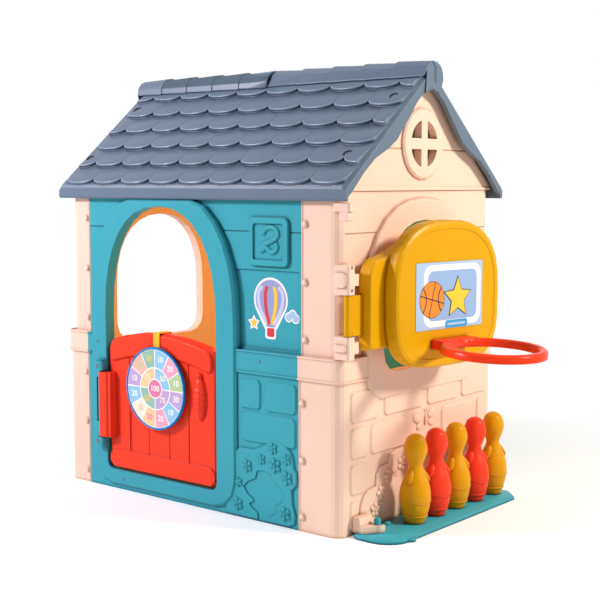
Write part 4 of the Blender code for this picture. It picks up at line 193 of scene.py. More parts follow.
# Painted shade in creases: how dark and rich the tint gets there
CREASE_SHADE_GAIN = 0.55


def linear(colour, gain=1.0):
    """An 8-bit sRGB colour as the shader's own linear one."""
    made = []
    for level in COLOURS[colour]:
        share = level / FULL_LEVEL
        if share < SRGB_KNEE:
            share /= SRGB_SLOPE
        else:
            share = ((share + SRGB_OFFSET) / (1 + SRGB_OFFSET)) ** SRGB_POWER
        made.append(min(1, gain * share))
    return (*made, 1)


def shaded_crease_colour(colour):
    """The darker, richer tint painted into a crease as shade."""
    return (*(CREASE_SHADE_GAIN * level * level for level in linear(colour)[:3]), 1)


def grey(level):
    return (level, level, level, 1)


# Shader nodes
MIDDLE_NOISE = (0.3, 0.7)


def feed(tree, node, inputs):
    """Gives a shader node's inputs their numbers, or links to them."""
    for name, value in inputs.items():
        if isinstance(value, bpy.types.NodeSocket):
            tree.links.new(value, node.inputs[name])
        else:
            node.inputs[name].default_value = value


def wire(tree, kind, inputs=None, **settings):
    """Adds a shader node with its settings and inputs."""
    made = tree.nodes.new(kind)
    for name, value in settings.items():
        setattr(made, name, value)
    feed(tree, made, inputs or {})
    return made


def math_node(tree, operation, first, second):
    return wire(tree, "ShaderNodeMath", {0: first, 1: second}, operation=operation).outputs["Value"]


def blended(tree, share, first, second):
    """A colour between two, by a share."""
    mix = wire(tree, "ShaderNodeMix", {0: share, 6: first, 7: second}, data_type="RGBA")
    return mix.outputs[2]


def varied(tree, share, colour, gains):
    """A colour between two gains of itself, by a share."""
    return blended(tree, share, linear(colour, gains[0]), linear(colour, gains[1]))


def spread(tree, value, span, onto):
    """A value's place within a span, laid onto another span."""
    ends = {"From Min": span[0], "From Max": span[1], "To Min": onto[0], "To Max": onto[1]}
    return wire(tree, "ShaderNodeMapRange", {"Value": value, **ends}).outputs["Result"]


def noise(tree, place, scale, detail):
    inputs = {"Vector": place, "Scale": scale, "Detail": detail}
    return wire(tree, "ShaderNodeTexNoise", inputs).outputs["Fac"]


def blank(name):
    material = bpy.data.materials.new(name)
    material.use_nodes = True
    tree = material.node_tree
    shade = tree.nodes["Principled BSDF"]
    place = wire(tree, "ShaderNodeTexCoord").outputs["Object"]
    return material, tree, shade, place


# Moulded plastic
PLASTIC_ROUGHNESS = 0.42
ROUGHNESS_SWING = (-0.05, 0.06)
PLASTIC_SPECULAR = 0.16
CLOUD_SCALE = 5
CLOUD_DETAIL = 5
CLOUD_GAINS = (0.92, 1.06)
EDGE_RADIUS = 0.0022
# Painted highlight on edges: how much paler the colour gets, over which turn of the normal, and at
# most how much of it
EDGE_HIGHLIGHT_GAIN = 1.25
EDGE_HIGHLIGHT_TURNS = (0.98, 0.85)
EDGE_HIGHLIGHT_SHARE = 0.55
# Painted shade in creases: how far ambient occlusion looks, over which openness, and how dark at
# most
CREASE_SHADE_REACH = 0.009
CREASE_SHADE_OPEN_SHARES = (0.45, 0.98)
CREASE_SHADE_DARK = 0.8
SHADE_SAMPLES = 4
GRAIN_SCALE = 900
GRAIN_DETAIL = 2
GRAIN_HEIGHT = 0.0002
GRAIN_STRENGTH = 0.25
INSIDE_MARGIN = 0.0095


def inside_share(tree, place):
    """1 on the faces that look into the house, 0 outside, by place alone."""
    parts = wire(tree, "ShaderNodeSeparateXYZ", {"Vector": place}).outputs
    reach_x = HALF_LENGTH - UPPER_SETBACK - INSIDE_MARGIN
    reach_y = HALF_DEPTH - UPPER_SETBACK - INSIDE_MARGIN
    shares = []
    for axis, middle, reach in (("X", HOUSE_X, reach_x), ("Y", HOUSE_Y, reach_y)):
        off = math_node(tree, "ABSOLUTE", math_node(tree, "SUBTRACT", parts[axis], middle), 0)
        shares.append(math_node(tree, "LESS_THAN", off, reach))
    return math_node(tree, "MULTIPLY", shares[0], shares[1])


def moulded(name, colour, roughness=PLASTIC_ROUGHNESS, highlight_gain=EDGE_HIGHLIGHT_GAIN, edge_radius=EDGE_RADIUS,
            specular=PLASTIC_SPECULAR, inner=None):
    """Painted highlights on soft edges, painted shade in creases, mottling and grain; inner is a
    paler colour painted indoors for light through the thin walls.
    """
    material, tree, shade, place = blank(name)
    cloud = noise(tree, place, CLOUD_SCALE, CLOUD_DETAIL)
    tint = varied(tree, cloud, colour, CLOUD_GAINS)
    bevel = wire(tree, "ShaderNodeBevel", {"Radius": edge_radius}, samples=SHADE_SAMPLES)
    soft = bevel.outputs["Normal"]
    hard = wire(tree, "ShaderNodeNewGeometry").outputs["Normal"]
    # Painted highlight: on an edge, where the bevelled normal turns away from the true one, the
    # colour is paler.
    turn = wire(tree, "ShaderNodeVectorMath", {0: soft, 1: hard}, operation="DOT_PRODUCT")
    edge = spread(tree, turn.outputs["Value"], EDGE_HIGHLIGHT_TURNS, (0, EDGE_HIGHLIGHT_SHARE))
    tint = blended(tree, edge, tint, linear(colour, highlight_gain))
    # Painted shade: in creases, where ambient occlusion finds little open space, the colour goes
    # darker.
    reach = {"Distance": CREASE_SHADE_REACH}
    occlusion = wire(tree, "ShaderNodeAmbientOcclusion", reach, samples=SHADE_SAMPLES)
    painted_shade = spread(tree, occlusion.outputs["AO"], CREASE_SHADE_OPEN_SHARES, (CREASE_SHADE_DARK, 0))
    tint = blended(tree, painted_shade, tint, shaded_crease_colour(colour))
    # Painted light: faces indoors take a paler, warmer colour that stands in for light coming
    # through the thin walls.
    if inner:
        tint = blended(tree, inside_share(tree, place), tint, linear(inner))
    rough = spread(tree, cloud, MIDDLE_NOISE, [roughness + swing for swing in ROUGHNESS_SWING])
    grains = noise(tree, place, GRAIN_SCALE, GRAIN_DETAIL)
    bump = wire(tree, "ShaderNodeBump", {
        "Strength": GRAIN_STRENGTH, "Distance": GRAIN_HEIGHT, "Height": grains, "Normal": soft,
    })
    feed(tree, shade, {
        "Base Color": tint, "Roughness": rough, "Normal": bump.outputs["Normal"],
        "Specular IOR Level": specular,
    })
    return material


# Zinc-plated steel
STEEL_METALLIC = 0.9
SCRATCH_SCALE = 700
SCRATCH_DETAIL = 4
SCRATCH_GAINS = (0.7, 1.2)
STEEL_ROUGHNESS = (0.28, 0.45)


def metal(name, colour):
    """Plated metal with fine scratches."""
    material, tree, shade, place = blank(name)
    scratches = noise(tree, place, SCRATCH_SCALE, SCRATCH_DETAIL)
    feed(tree, shade, {
        "Base Color": varied(tree, scratches, colour, SCRATCH_GAINS), "Metallic": STEEL_METALLIC,
        "Roughness": spread(tree, scratches, MIDDLE_NOISE, STEEL_ROUGHNESS),
    })
    return material


# Print on film
DOT_SCALE = 1600
DOT_DETAIL = 1
DOT_GAINS = (0.95, 1.04)
INK_ROUGHNESS = (0.33, 0.42)
COAT_WEIGHT = 0.2
COAT_ROUGHNESS = 0.2


def ink(colour):
    """A finely mottled ink under a satin coat, made once for each colour."""
    name = f"ink_{colour}"
    if name in bpy.data.materials:
        return bpy.data.materials[name]
    material, tree, shade, place = blank(name)
    dots = noise(tree, place, DOT_SCALE, DOT_DETAIL)
    feed(tree, shade, {
        "Base Color": varied(tree, dots, colour, DOT_GAINS),
        "Roughness": spread(tree, dots, MIDDLE_NOISE, INK_ROUGHNESS),
        "Coat Weight": COAT_WEIGHT, "Coat Roughness": COAT_ROUGHNESS,
    })
    return material


# The target's webbing
THREAD_SCALE = 260
THREAD_WOBBLE = 0.4
THREAD_GAINS = (0.72, 1.05)
THREAD_ROUGHNESS = (0.85, 0.65)
THREAD_HEIGHT = 0.0004
THREAD_STRENGTH = 0.5


def woven(name, colour):
    """A woven band: threads over and under, across and along."""
    material, tree, shade, place = blank(name)
    inputs = {"Vector": place, "Scale": THREAD_SCALE, "Distortion": THREAD_WOBBLE}
    across, along = (
        wire(tree, "ShaderNodeTexWave", inputs, bands_direction=way).outputs["Fac"]
        for way in ("X", "Z")
    )
    weave = math_node(tree, "MAXIMUM", across, along)
    bump = wire(tree, "ShaderNodeBump", {
        "Strength": THREAD_STRENGTH, "Distance": THREAD_HEIGHT, "Height": weave,
    })
    feed(tree, shade, {
        "Base Color": varied(tree, weave, colour, THREAD_GAINS), "Normal": bump.outputs["Normal"],
        "Roughness": spread(tree, weave, (0, 1), THREAD_ROUGHNESS),
    })
    return material


# The material of each slot, and a paler one painted on the tiles' lips as a highlight
FINISHES = {
    "peach_plastic": moulded("peach_moulding", "peach", inner="peach_lit_through"),
    "teal_plastic": moulded("teal_moulding", "teal"),
    "slate_plastic": moulded("slate_moulding", "slate", roughness=0.40, highlight_gain=2.0,
                             edge_radius=0.003, specular=0.5),
    "red_plastic": moulded("red_moulding", "red", roughness=0.32, highlight_gain=1.15, edge_radius=0.004),
    "mustard_plastic": moulded("mustard_moulding", "mustard", roughness=0.34),
    "olive_plastic": moulded("olive_moulding", "olive", roughness=0.28),
    "orange_plastic": moulded("orange_moulding", "orange", roughness=0.28, highlight_gain=1.15),
    "cream_board": ink("cream"),
    "sky_plastic": moulded("sky_moulding", "sky", roughness=0.36, highlight_gain=1.2, edge_radius=0.0015),
    "yellow_strap": woven("yellow_webbing", "yellow"),
    "pale_blue_print": ink("pale_blue"),
    "steel": metal("zinc_steel", "steel"),
}
LIP_HIGHLIGHT_FINISH = moulded("slate_lip_highlight", "slate_lip_highlight", roughness=0.28, highlight_gain=1.3, edge_radius=0.002,
                     specular=0.6)
SLOT_OF = {sub["node"]: sub["material_slot"] for sub in frame["record"]["subparts"]}
BODY_OF = {name: body_of(obj)[0] for name, obj in frame["nodes"].items()}

# Pieces. Faces that meet at less than one of these angles, in degrees, shade as one.
SOFT = 60
TILE_SOFT = 50
TURNED_SOFT = 40
CRISP = 35
CAP_SOFT = 22
SAME_PLACE = 1e-5
SMOOTHED_NODES = {
    "hoop": TURNED_SOFT, "target_rim": TURNED_SOFT, "skittle_tray": TURNED_SOFT,
    "right_ridge_cap": CAP_SOFT, "left_ridge_cap": CAP_SOFT,
}


def meshed(name, bm):
    """A mesh with what a bmesh holds, which is then freed."""
    mesh = bpy.data.meshes.new(name)
    bm.to_mesh(mesh)
    bm.free()
    return mesh


def added(name, data):
    """A new object in the scene."""
    obj = bpy.data.objects.new(name, data)
    bpy.context.scene.collection.objects.link(obj)
    return obj


def piece(name, bm, slot, body, materials=None, angle=None):
    """Turns a bmesh in the frame's own places into a piece that rides on a body."""
    bmesh.ops.recalc_face_normals(bm, faces=bm.faces)
    mesh = meshed(name, bm)
    for material in materials or [FINISHES[slot]]:
        mesh.materials.append(material)
    if angle is not None:
        mesh.shade_smooth()
        mesh.set_sharp_from_angle(angle=math.radians(angle))
    obj = added(name, mesh)
    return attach(obj, body)


def stand_in(node, kind, bm, angle):
    """A piece in place of a CAD node, on its body and with its slot."""
    obj = piece(f"{node}_{kind}", bm, SLOT_OF[node], BODY_OF[node], angle=angle)
    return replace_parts(obj, node)


def smoothed(node, angle):
    """A copy of a CAD node whose curved faces shade as one, in its place."""
    bm = bmesh.new()
    bm.from_mesh(frame["nodes"][node].data)
    bmesh.ops.remove_doubles(bm, verts=bm.verts, dist=SAME_PLACE)
    for face in bm.faces:
        face.material_index = 0
    stand_in(node, "smooth", bm, angle)


# Outlines, as lists of points in a plane


def polar(centre, radius, degrees):
    t = math.radians(degrees)
    return centre[0] + radius * math.cos(t), centre[1] + radius * math.sin(t)


def arc(centre, radius, start, end, steps):
    return [polar(centre, radius, start + (end - start) * i / steps) for i in range(steps + 1)]


def circle(centre, radius, sides):
    return arc(centre, radius, 0, 360, sides)[:-1]


def sector(centre, inner, outer, start, end, steps):
    """A piece of a ring between two angles in degrees."""
    return arc(centre, outer, start, end, steps) + arc(centre, inner, start, end, steps)[::-1]


def rounded(low, high, radius, steps=6):
    """A box with round corners."""
    corners = (
        (high[0] - radius, high[1] - radius), (low[0] + radius, high[1] - radius),
        (low[0] + radius, low[1] + radius), (high[0] - radius, low[1] + radius),
    )
    outline = []
    for quarter, corner in enumerate(corners):
        outline += arc(corner, radius, 90 * quarter, 90 * quarter + 90, steps)
    return outline


def star(centre, outer, inner, points=5):
    outline = []
    for k in range(points):
        outline.append(polar(centre, outer, 90 + 360 * k / points))
        outline.append(polar(centre, inner, 90 + 360 * (k + 0.5) / points))
    return outline


def smooth_line(points, steps=6):
    """A smooth curve through the points."""
    ends = [points[0], *points, points[-1]]
    line = []
    for p0, p1, p2, p3 in zip(ends, ends[1:], ends[2:], ends[3:]):
        for i in range(steps):
            t = i / steps
            line.append(tuple(
                0.5 * (2 * b + (c - a) * t + (2 * a - 5 * b + 4 * c - d) * t * t
                       + (3 * b - a - 3 * c + d) * t ** 3)
                for a, b, c, d in zip(p0, p1, p2, p3)
            ))
    return line + [tuple(points[-1])]


def sideways(line):
    """Each point of a line with the direction square to the line there."""
    turned = []
    for i, (a, b) in enumerate(line):
        before, after = line[max(0, i - 1)], line[min(len(line) - 1, i + 1)]
        da, db = after[0] - before[0], after[1] - before[1]
        length = math.hypot(da, db) or 1
        turned.append(((a, b), (-db / length, da / length)))
    return turned


def strip(line, width):
    """A band of even width along a line."""
    half = width / 2
    turned = sideways(line)
    left = [(a + na * half, b + nb * half) for (a, b), (na, nb) in turned]
    right = [(a - na * half, b - nb * half) for (a, b), (na, nb) in turned]
    return left + right[::-1]


def half_round(sides, root=0.3):
    """Shares of the half width and of the height round a ridge whose root lies under its face."""
    turns = [2 * math.pi * k / sides for k in range(sides)]
    return [(math.cos(t), max(-root, math.sin(t))) for t in turns]


# Solids
LEAST_RADIUS = 0.0002


def add_loft(bm, rings):
    """Skins rings of the same number of points, and closes both ends."""
    made = [[bm.verts.new(point) for point in ring] for ring in rings]
    count = len(made[0])
    for low, high in zip(made, made[1:]):
        for i in range(count):
            j = (i + 1) % count
            bm.faces.new((low[i], low[j], high[j], high[i]))
    bm.faces.new(list(reversed(made[0])))
    bm.faces.new(made[-1])


def add_lathe(bm, place, centre, base, profile, sides):
    """Turns (radius, height over the base) pairs round a line that stands square on a face."""
    add_loft(bm, [
        [place(a, b, base + height) for a, b in circle(centre, max(radius, LEAST_RADIUS), sides)]
        for radius, height in profile
    ])


def bored(bm, cutters):
    """A bmesh with other closed shapes cut out of it."""
    objects = []
    for shape in [bm, *cutters]:
        bmesh.ops.recalc_face_normals(shape, faces=shape.faces)
        objects.append(added("cut", meshed("cut", shape)))
    for cutter in objects[1:]:
        cut = objects[0].modifiers.new("cut", "BOOLEAN")
        cut.operation, cut.solver, cut.object = "DIFFERENCE", "EXACT", cutter
    graph = bpy.context.evaluated_depsgraph_get()
    made = bpy.data.meshes.new_from_object(objects[0].evaluated_get(graph))
    result = bmesh.new()
    result.from_mesh(made)
    bpy.data.meshes.remove(made)
    for obj in objects:
        mesh = obj.data
        bpy.data.objects.remove(obj)
        bpy.data.meshes.remove(mesh)
    return result


# Faces of the house, each a map from (a, b, height) on it into the frame


def at(x, y, z):
    """A point given from the middle of the house."""
    return Vector((HOUSE_X + x, HOUSE_Y + y, z))


def on_face(origin, along, up, outward):
    def place(a, b, height):
        return origin + along * a + up * b + outward * height
    return place


MIDDLE = at(0, 0, 0)
RIGHT, BACK, UP = Vector((1, 0, 0)), Vector((0, 1, 0)), Vector((0, 0, 1))
FLAT = on_face(Vector((0, 0, 0)), RIGHT, BACK, UP)
DOOR_WALL = on_face(MIDDLE, RIGHT, UP, -BACK)
BACK_WALL = on_face(MIDDLE, -RIGHT, UP, BACK)
RIGHT_GABLE = on_face(MIDDLE, BACK, UP, RIGHT)
LEFT_GABLE = on_face(MIDDLE, -BACK, UP, -RIGHT)
shutter_joint = next(joint for joint in frame["joints"] if joint["name"] == "shutter_hinge")
SHUTTER_PIN = Vector((*shutter_joint["pos_m"][:2], 0))
BOARD_ALONG = Vector((math.sin(SHUTTER_REST), math.cos(SHUTTER_REST), 0))
BOARD_OUT = Vector((math.cos(SHUTTER_REST), -math.sin(SHUTTER_REST), 0))
BOARD = on_face(SHUTTER_PIN, BOARD_ALONG, UP, BOARD_OUT)


def level_of(node, place, a, b):
    """Height of a CAD node's surface over a face's own plane, at a place on it."""
    outward = (place(0, 0, 1) - place(0, 0, 0)).normalized()
    mesh = frame["nodes"][node].data
    tree = BVHTree.FromPolygons(
        [v.co for v in mesh.vertices], [tuple(p.vertices) for p in mesh.polygons]
    )
    hit = tree.ray_cast(place(a, b, 1), -outward)[0]
    return (hit - place(a, b, 0)).dot(outward)


# Roof tiles with rounded lips, over the CAD model's plain ones
LIP_RADIUS = 0.0032
LIP_STEPS = 4
# Rings of the lip from this one on take its painted highlight
LIP_HIGHLIGHT_FROM = 3
TILE_PROUD = 0.0010
TILE_ROOT = 0.002
TONGUE_STEPS = 16
TONGUE_CUT_SHARE = 0.03
BORE_RADIUS = 0.0121
BORE_SIDES = 32
BORE_DEPTH = 0.004
BORE_TOP = 0.02
slope_length = EAVE_HALF_DEPTH / math.cos(ROOF_SLOPE)
tile_pitch = (slope_length - TILE_FIRST_U - TILE_TUCK) / TILE_ROWS


def roof_place(side):
    """Maps (x along the ridge, u up the slope, height over it) into the frame."""
    def place(x, u, w):
        y = EAVE_HALF_DEPTH - u * math.cos(ROOF_SLOPE) + w * math.sin(ROOF_SLOPE)
        z = EAVE_Z + u * math.sin(ROOF_SLOPE) + w * math.cos(ROOF_SLOPE)
        return at(-side * x, side * y, z)
    return place


def screw_places():
    """Where a roof panel's screws stand: along the ridge, and up the slope."""
    return [(x * ROOF_HALF_LENGTH, u * slope_length) for x, u in SCREW_PLACE_SHARES]


def tile_outline(low_u, high_u, middle, left, right, inset):
    """One tile: round tongue below, straight sides up to the next course."""
    half = TILE_WIDTH / 2 - inset
    line = [(-half, low_u + TILE_NOTCH)]
    for i in range(TONGUE_STEPS + 1):
        turn = math.pi * (TONGUE_CUT_SHARE + (1 - 2 * TONGUE_CUT_SHARE) * i / TONGUE_STEPS)
        share = -math.cos(turn)
        fall = (1 - abs(share) ** ARCH_POWER) ** (1 / ARCH_POWER)
        line.append((share * half, low_u + TILE_TONGUE - (TILE_TONGUE - inset) * fall))
    line += [(half, low_u + TILE_NOTCH), (half, high_u), (-half, high_u)]
    return [(min(right - inset, max(left + inset, middle + a)), b) for a, b in line]


def pocket_cutters(place, low_u, high_u, middle):
    """A cylinder for each screw pocket that a tile reaches."""
    cutters = []
    for screw_x, screw_u in screw_places():
        near_x = abs(screw_x - middle) < TILE_WIDTH / 2 + 2 * BORE_RADIUS
        if near_x and low_u - BORE_RADIUS < screw_u < high_u + BORE_RADIUS:
            cutter = bmesh.new()
            profile = ((BORE_RADIUS, -BORE_DEPTH), (BORE_RADIUS, BORE_TOP))
            add_lathe(cutter, place, (screw_x, screw_u), 0, profile, BORE_SIDES)
            cutters.append(cutter)
    return cutters


def make_tile(place, low_u, high_u, middle, left, right):
    rings = []
    for step in range(-1, LIP_STEPS + 1):
        turn = math.pi / 2 * max(0, step) / LIP_STEPS
        inset = LIP_RADIUS * (1 - math.cos(turn)) - TILE_PROUD
        drop = LIP_RADIUS * (1 - math.sin(turn))
        ring = []
        for x, u in tile_outline(low_u, high_u, middle, left, right, inset):
            top = (TILE_THICK + TILE_DIP) * (high_u - u) / (high_u - low_u) - TILE_DIP
            w = -TILE_ROOT if step < 0 else max(top - drop, -TILE_DIP) + TILE_PROUD / 2
            ring.append(place(x, u, w))
        rings.append(ring)
    tile = bmesh.new()
    add_loft(tile, rings)
    count = len(rings[0])
    for number, face in enumerate(tile.faces):
        row, edge = divmod(number, count)
        # Faces on the lips' outer rows take the paler finish, a painted highlight.
        face.material_index = int(LIP_HIGHLIGHT_FROM <= row < len(rings) - 1 and 0 < edge <= TONGUE_STEPS)
    cutters = pocket_cutters(place, low_u, high_u, middle)
    return bored(tile, cutters) if cutters else tile


def make_tiles(name, side):
    place = roof_place(side)
    whole = bmesh.new()
    left = TILE_LEFT_MARGIN - ROOF_HALF_LENGTH
    right = ROOF_HALF_LENGTH - TILE_RIGHT_MARGIN
    for row in range(TILE_ROWS):
        low_u = TILE_FIRST_U + row * tile_pitch
        high_u = low_u + tile_pitch + (TILE_TUCK if row < TILE_ROWS - 1 else 0)
        middle = left + (TILE_WIDTH / 2 if row % 2 == 0 else 0)
        while middle - TILE_WIDTH / 2 < right - TILE_ROOT:
            mesh = meshed("tile", make_tile(place, low_u, high_u, middle, left, right))
            whole.from_mesh(mesh)
            bpy.data.meshes.remove(mesh)
            middle += TILE_WIDTH
    materials = [FINISHES["slate_plastic"], LIP_HIGHLIGHT_FINISH]
    piece(name, whole, "slate_plastic", "house", materials, angle=TILE_SOFT)


# Cross-head screws in place of the CAD model's plain ones
SCREW_PROFILE = (
    (0.0018, -0.007), (0.0030, -0.006), (0.0030, 0), (0.008075, 0), (0.0085, 0.00105),
    (0.007905, 0.002275), (0.00612, 0.00315), (0.0034, 0.0035), (0, 0.0035),
)
SCREW_SIDES = 28
CROSS_LENGTH = 0.0105
CROSS_WIDTH = 0.0022
CROSS_DEPTH = 0.0022
CROSS_FLOOR_SHARE = 0.55
CROSS_TOP = 0.00525


def cross_cutter(place, centre, floor, size_a, size_b):
    """One stroke of the cross, narrower at its floor."""
    cutter = bmesh.new()
    rings = []
    for share, height in ((CROSS_FLOOR_SHARE, SCREW_HEAD_THICK - CROSS_DEPTH), (1, CROSS_TOP)):
        half_a, half_b = size_a / 2 * share, size_b / 2 * share
        corners = ((-half_a, -half_b), (half_a, -half_b), (half_a, half_b), (-half_a, half_b))
        rings.append([place(centre[0] + a, centre[1] + b, floor + height) for a, b in corners])
    add_loft(cutter, rings)
    return cutter


def make_screw(node, place, centre, floor):
    """A screw whose head stands on a floor."""
    head = bmesh.new()
    add_lathe(head, place, centre, floor, SCREW_PROFILE, SCREW_SIDES)
    cutters = [
        cross_cutter(place, centre, floor, *size)
        for size in ((CROSS_LENGTH, CROSS_WIDTH), (CROSS_WIDTH, CROSS_LENGTH))
    ]
    stand_in(node, "cross", bored(head, cutters), CRISP)


def make_screws():
    for name, side in (("front_roof", -1), ("back_roof", 1)):
        for number, centre in enumerate(screw_places(), 1):
            make_screw(f"{name}_screw_{number}", roof_place(side), centre, SCREW_FLOOR)
    for cap in ("right", "left"):
        for number in (1, 2):
            node = f"{cap}_ridge_screw_{number}"
            low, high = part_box(node)
            centre = ((low.x + high.x) / 2, (low.y + high.y) / 2)
            make_screw(node, FLAT, centre, high.z - SCREW_HEAD_THICK)


# Shapes in relief. A flower's sizes are shares of its radius.
END_WIDTH_SHARE = 0.5
END_HEIGHT_SHARE = 0.6
PETALS = 5
PETAL_OFF_SHARE = 0.62
PETAL_HALF_SHARES = (0.44, 0.38)
PETAL_HEIGHT_SHARE = 0.26
EYE_SHARE = 0.26
EYE_HEIGHT_SHARE = 0.38


def add_bead(bm, place, line, width, height, level, sides=10):
    """A half-round raised line along a curve on a face."""
    rings = []
    for i, ((a, b), (na, nb)) in enumerate(sideways(line)):
        half, lift = width / 2, height
        if i in (0, len(line) - 1):
            half, lift = half * END_WIDTH_SHARE, lift * END_HEIGHT_SHARE
        rings.append([
            place(a + na * half * across, b + nb * half * across, level + lift * up)
            for across, up in half_round(sides)
        ])
    add_loft(bm, rings)


def add_dome(bm, place, centre, half_a, half_b, turn, height, level, sides=14, rows=4):
    """A low oval dome on a face."""
    rings = []
    for row in range(-1, rows):
        angle = math.pi / 2 * max(0, row) / rows
        reach, lift = math.cos(angle), math.sin(angle)
        ring = []
        for a, b in circle((0, 0), reach, sides):
            a, b = a * half_a, b * half_b
            ring.append(place(
                centre[0] + a * math.cos(turn) - b * math.sin(turn),
                centre[1] + a * math.sin(turn) + b * math.cos(turn),
                level + (height * lift if row >= 0 else -height / 2),
            ))
        rings.append(ring)
    add_loft(bm, rings)


def add_flower(bm, place, centre, radius, turn, level):
    half_a, half_b = (share * radius for share in PETAL_HALF_SHARES)
    for petal in range(PETALS):
        t = turn + 2 * math.pi * petal / PETALS
        off = PETAL_OFF_SHARE * radius
        middle = (centre[0] + off * math.cos(t), centre[1] + off * math.sin(t))
        add_dome(bm, place, middle, half_a, half_b, t, PETAL_HEIGHT_SHARE * radius, level)
    eye = EYE_SHARE * radius
    add_dome(bm, place, centre, eye, eye, 0, EYE_HEIGHT_SHARE * radius, level)


# The relief on the door wall: flowers as (a, b, radius), and the numeral on its plate
FLOWERS = (
    (0.1905, 0.1312, 0.016), (0.2354, 0.1534, 0.013), (0.2715, 0.1848, 0.014),
    (0.2793, 0.1446, 0.018), (0.3137, 0.1642, 0.014), (0.3156, 0.1197, 0.0165),
    (0.1623, 0.0876, 0.0125), (0.1598, 0.0336, 0.0165), (0.3096, 0.0332, 0.017),
)
FLOWER_TURN = 0.7
PLATE_MIDDLE = (0.250, 0.690)
NUMERAL = (
    (0.2338, 0.6875), (0.2398, 0.6988), (0.2546, 0.7054), (0.2722, 0.7018), (0.2795, 0.6909),
    (0.2736, 0.6797), (0.2560, 0.6714), (0.2397, 0.6648), (0.2283, 0.6548), (0.2277, 0.6465),
)
NUMERAL_FOOT = (
    (0.2283, 0.6465), (0.2402, 0.6575), (0.2500, 0.6540), (0.2603, 0.6470), (0.2720, 0.6508),
    (0.2773, 0.6610), (0.2721, 0.6697),
)
NUMERAL_WIDTH = 0.0125
NUMERAL_PROUD = 0.0044


def make_door_wall_relief():
    bm = bmesh.new()
    for a, b, radius in FLOWERS:
        add_flower(bm, DOOR_WALL, (a, b), radius, FLOWER_TURN, HALF_DEPTH + BUSH_PROUD)
    piece("door_wall_flowers", bm, "teal_plastic", "house", angle=SOFT)
    bm = bmesh.new()
    level = level_of("door_wall", DOOR_WALL, *PLATE_MIDDLE)
    for line in (NUMERAL, NUMERAL_FOOT):
        add_bead(bm, DOOR_WALL, smooth_line(line), NUMERAL_WIDTH, NUMERAL_PROUD, level)
    piece("house_number", bm, "teal_plastic", "house", angle=SOFT)


# The relief on the gables: flowers on the bushes, and a butterfly. Its wings and then its body
# are (a, b, half length, half width, turn, rise).
GABLE_FLOWERS = (
    (-0.180, 0.0827, 0.0180), (-0.150, 0.115, 0.0180), (-0.205, 0.045, 0.0180),
    (-0.095, 0.137, 0.0192), (0.004, 0.141, 0.0192), (0.103, 0.127, 0.0180),
    (0.191, 0.134, 0.0180), (0.2625, 0.124, 0.0180), (-0.176, 0.059, 0.0102),
    (-0.186, 0.034, 0.0102), (-0.181, 0.015, 0.0102), (-0.214, 0.013, 0.0102),
    (-0.120, 0.118, 0.0102),
)
BUTTERFLY = (
    (-0.0250, 0.2340, 0.0185, 0.0125, -0.35, 0.0045),
    (-0.0150, 0.2135, 0.0130, 0.0090, 0.45, 0.0045),
    (0.0400, 0.2400, 0.0190, 0.0115, 0.40, 0.0045),
    (0.0360, 0.2170, 0.0135, 0.0095, -0.45, 0.0045),
    (0.0115, 0.2260, 0.0150, 0.0038, 1.45, 0.0063),
)
FEELERS = (
    ((0.0135, 0.2400), (0.0120, 0.2480), (0.0060, 0.2530)),
    ((0.0135, 0.2400), (0.0180, 0.2480), (0.0250, 0.2540)),
)
FEELER_WIDTH = 0.0028
FEELER_PROUD = 0.0022


def make_gable_relief(name, place):
    bm = bmesh.new()
    for number, (a, b, radius) in enumerate(GABLE_FLOWERS):
        add_flower(bm, place, (a, b), radius, FLOWER_TURN + number, HALF_LENGTH + BUSH_PROUD)
    for a, b, half_a, half_b, turn, rise in BUTTERFLY:
        add_dome(bm, place, (a, b), half_a, half_b, turn, rise, HALF_LENGTH)
    for line in FEELERS:
        add_bead(bm, place, smooth_line(line), FEELER_WIDTH, FEELER_PROUD, HALF_LENGTH)
    piece(name, bm, "peach_plastic", "house", angle=SOFT)


# Ribs along the belt
RIB_WIDTH = 0.0056
RIB_PROUD = 0.0026
RIB_SIDES = 8
BELT_RIBS = (0.3588, 0.4096)
CORNER_STEPS = 8


def add_rib(bm, path, z):
    """A half-round level rib along a path of places with outward directions."""
    add_loft(bm, [
        [
            at(x + nx * RIB_PROUD * out, y + ny * RIB_PROUD * out, z + RIB_WIDTH / 2 * up)
            for up, out in half_round(RIB_SIDES)
        ]
        for (x, y), (nx, ny) in path
    ])


def corner_path(seam_x, way_x, way_y):
    """Round one corner of the house at belt level, from the seam to the gable's apron."""
    radius = CORNER_RADIUS + BELT_PROUD
    middle = (HALF_LENGTH - CORNER_RADIUS, HALF_DEPTH - CORNER_RADIUS)
    path = [((seam_x, way_y * (HALF_DEPTH + BELT_PROUD)), (0, way_y))]
    for i in range(CORNER_STEPS + 1):
        t = math.pi / 2 * (1 - i / CORNER_STEPS)
        nx, ny = way_x * math.cos(t), way_y * math.sin(t)
        path.append(((way_x * middle[0] + radius * nx, way_y * middle[1] + radius * ny), (nx, ny)))
    path.append(((way_x * (HALF_LENGTH + BELT_PROUD), way_y * APRON_HALF), (way_x, 0)))
    return path


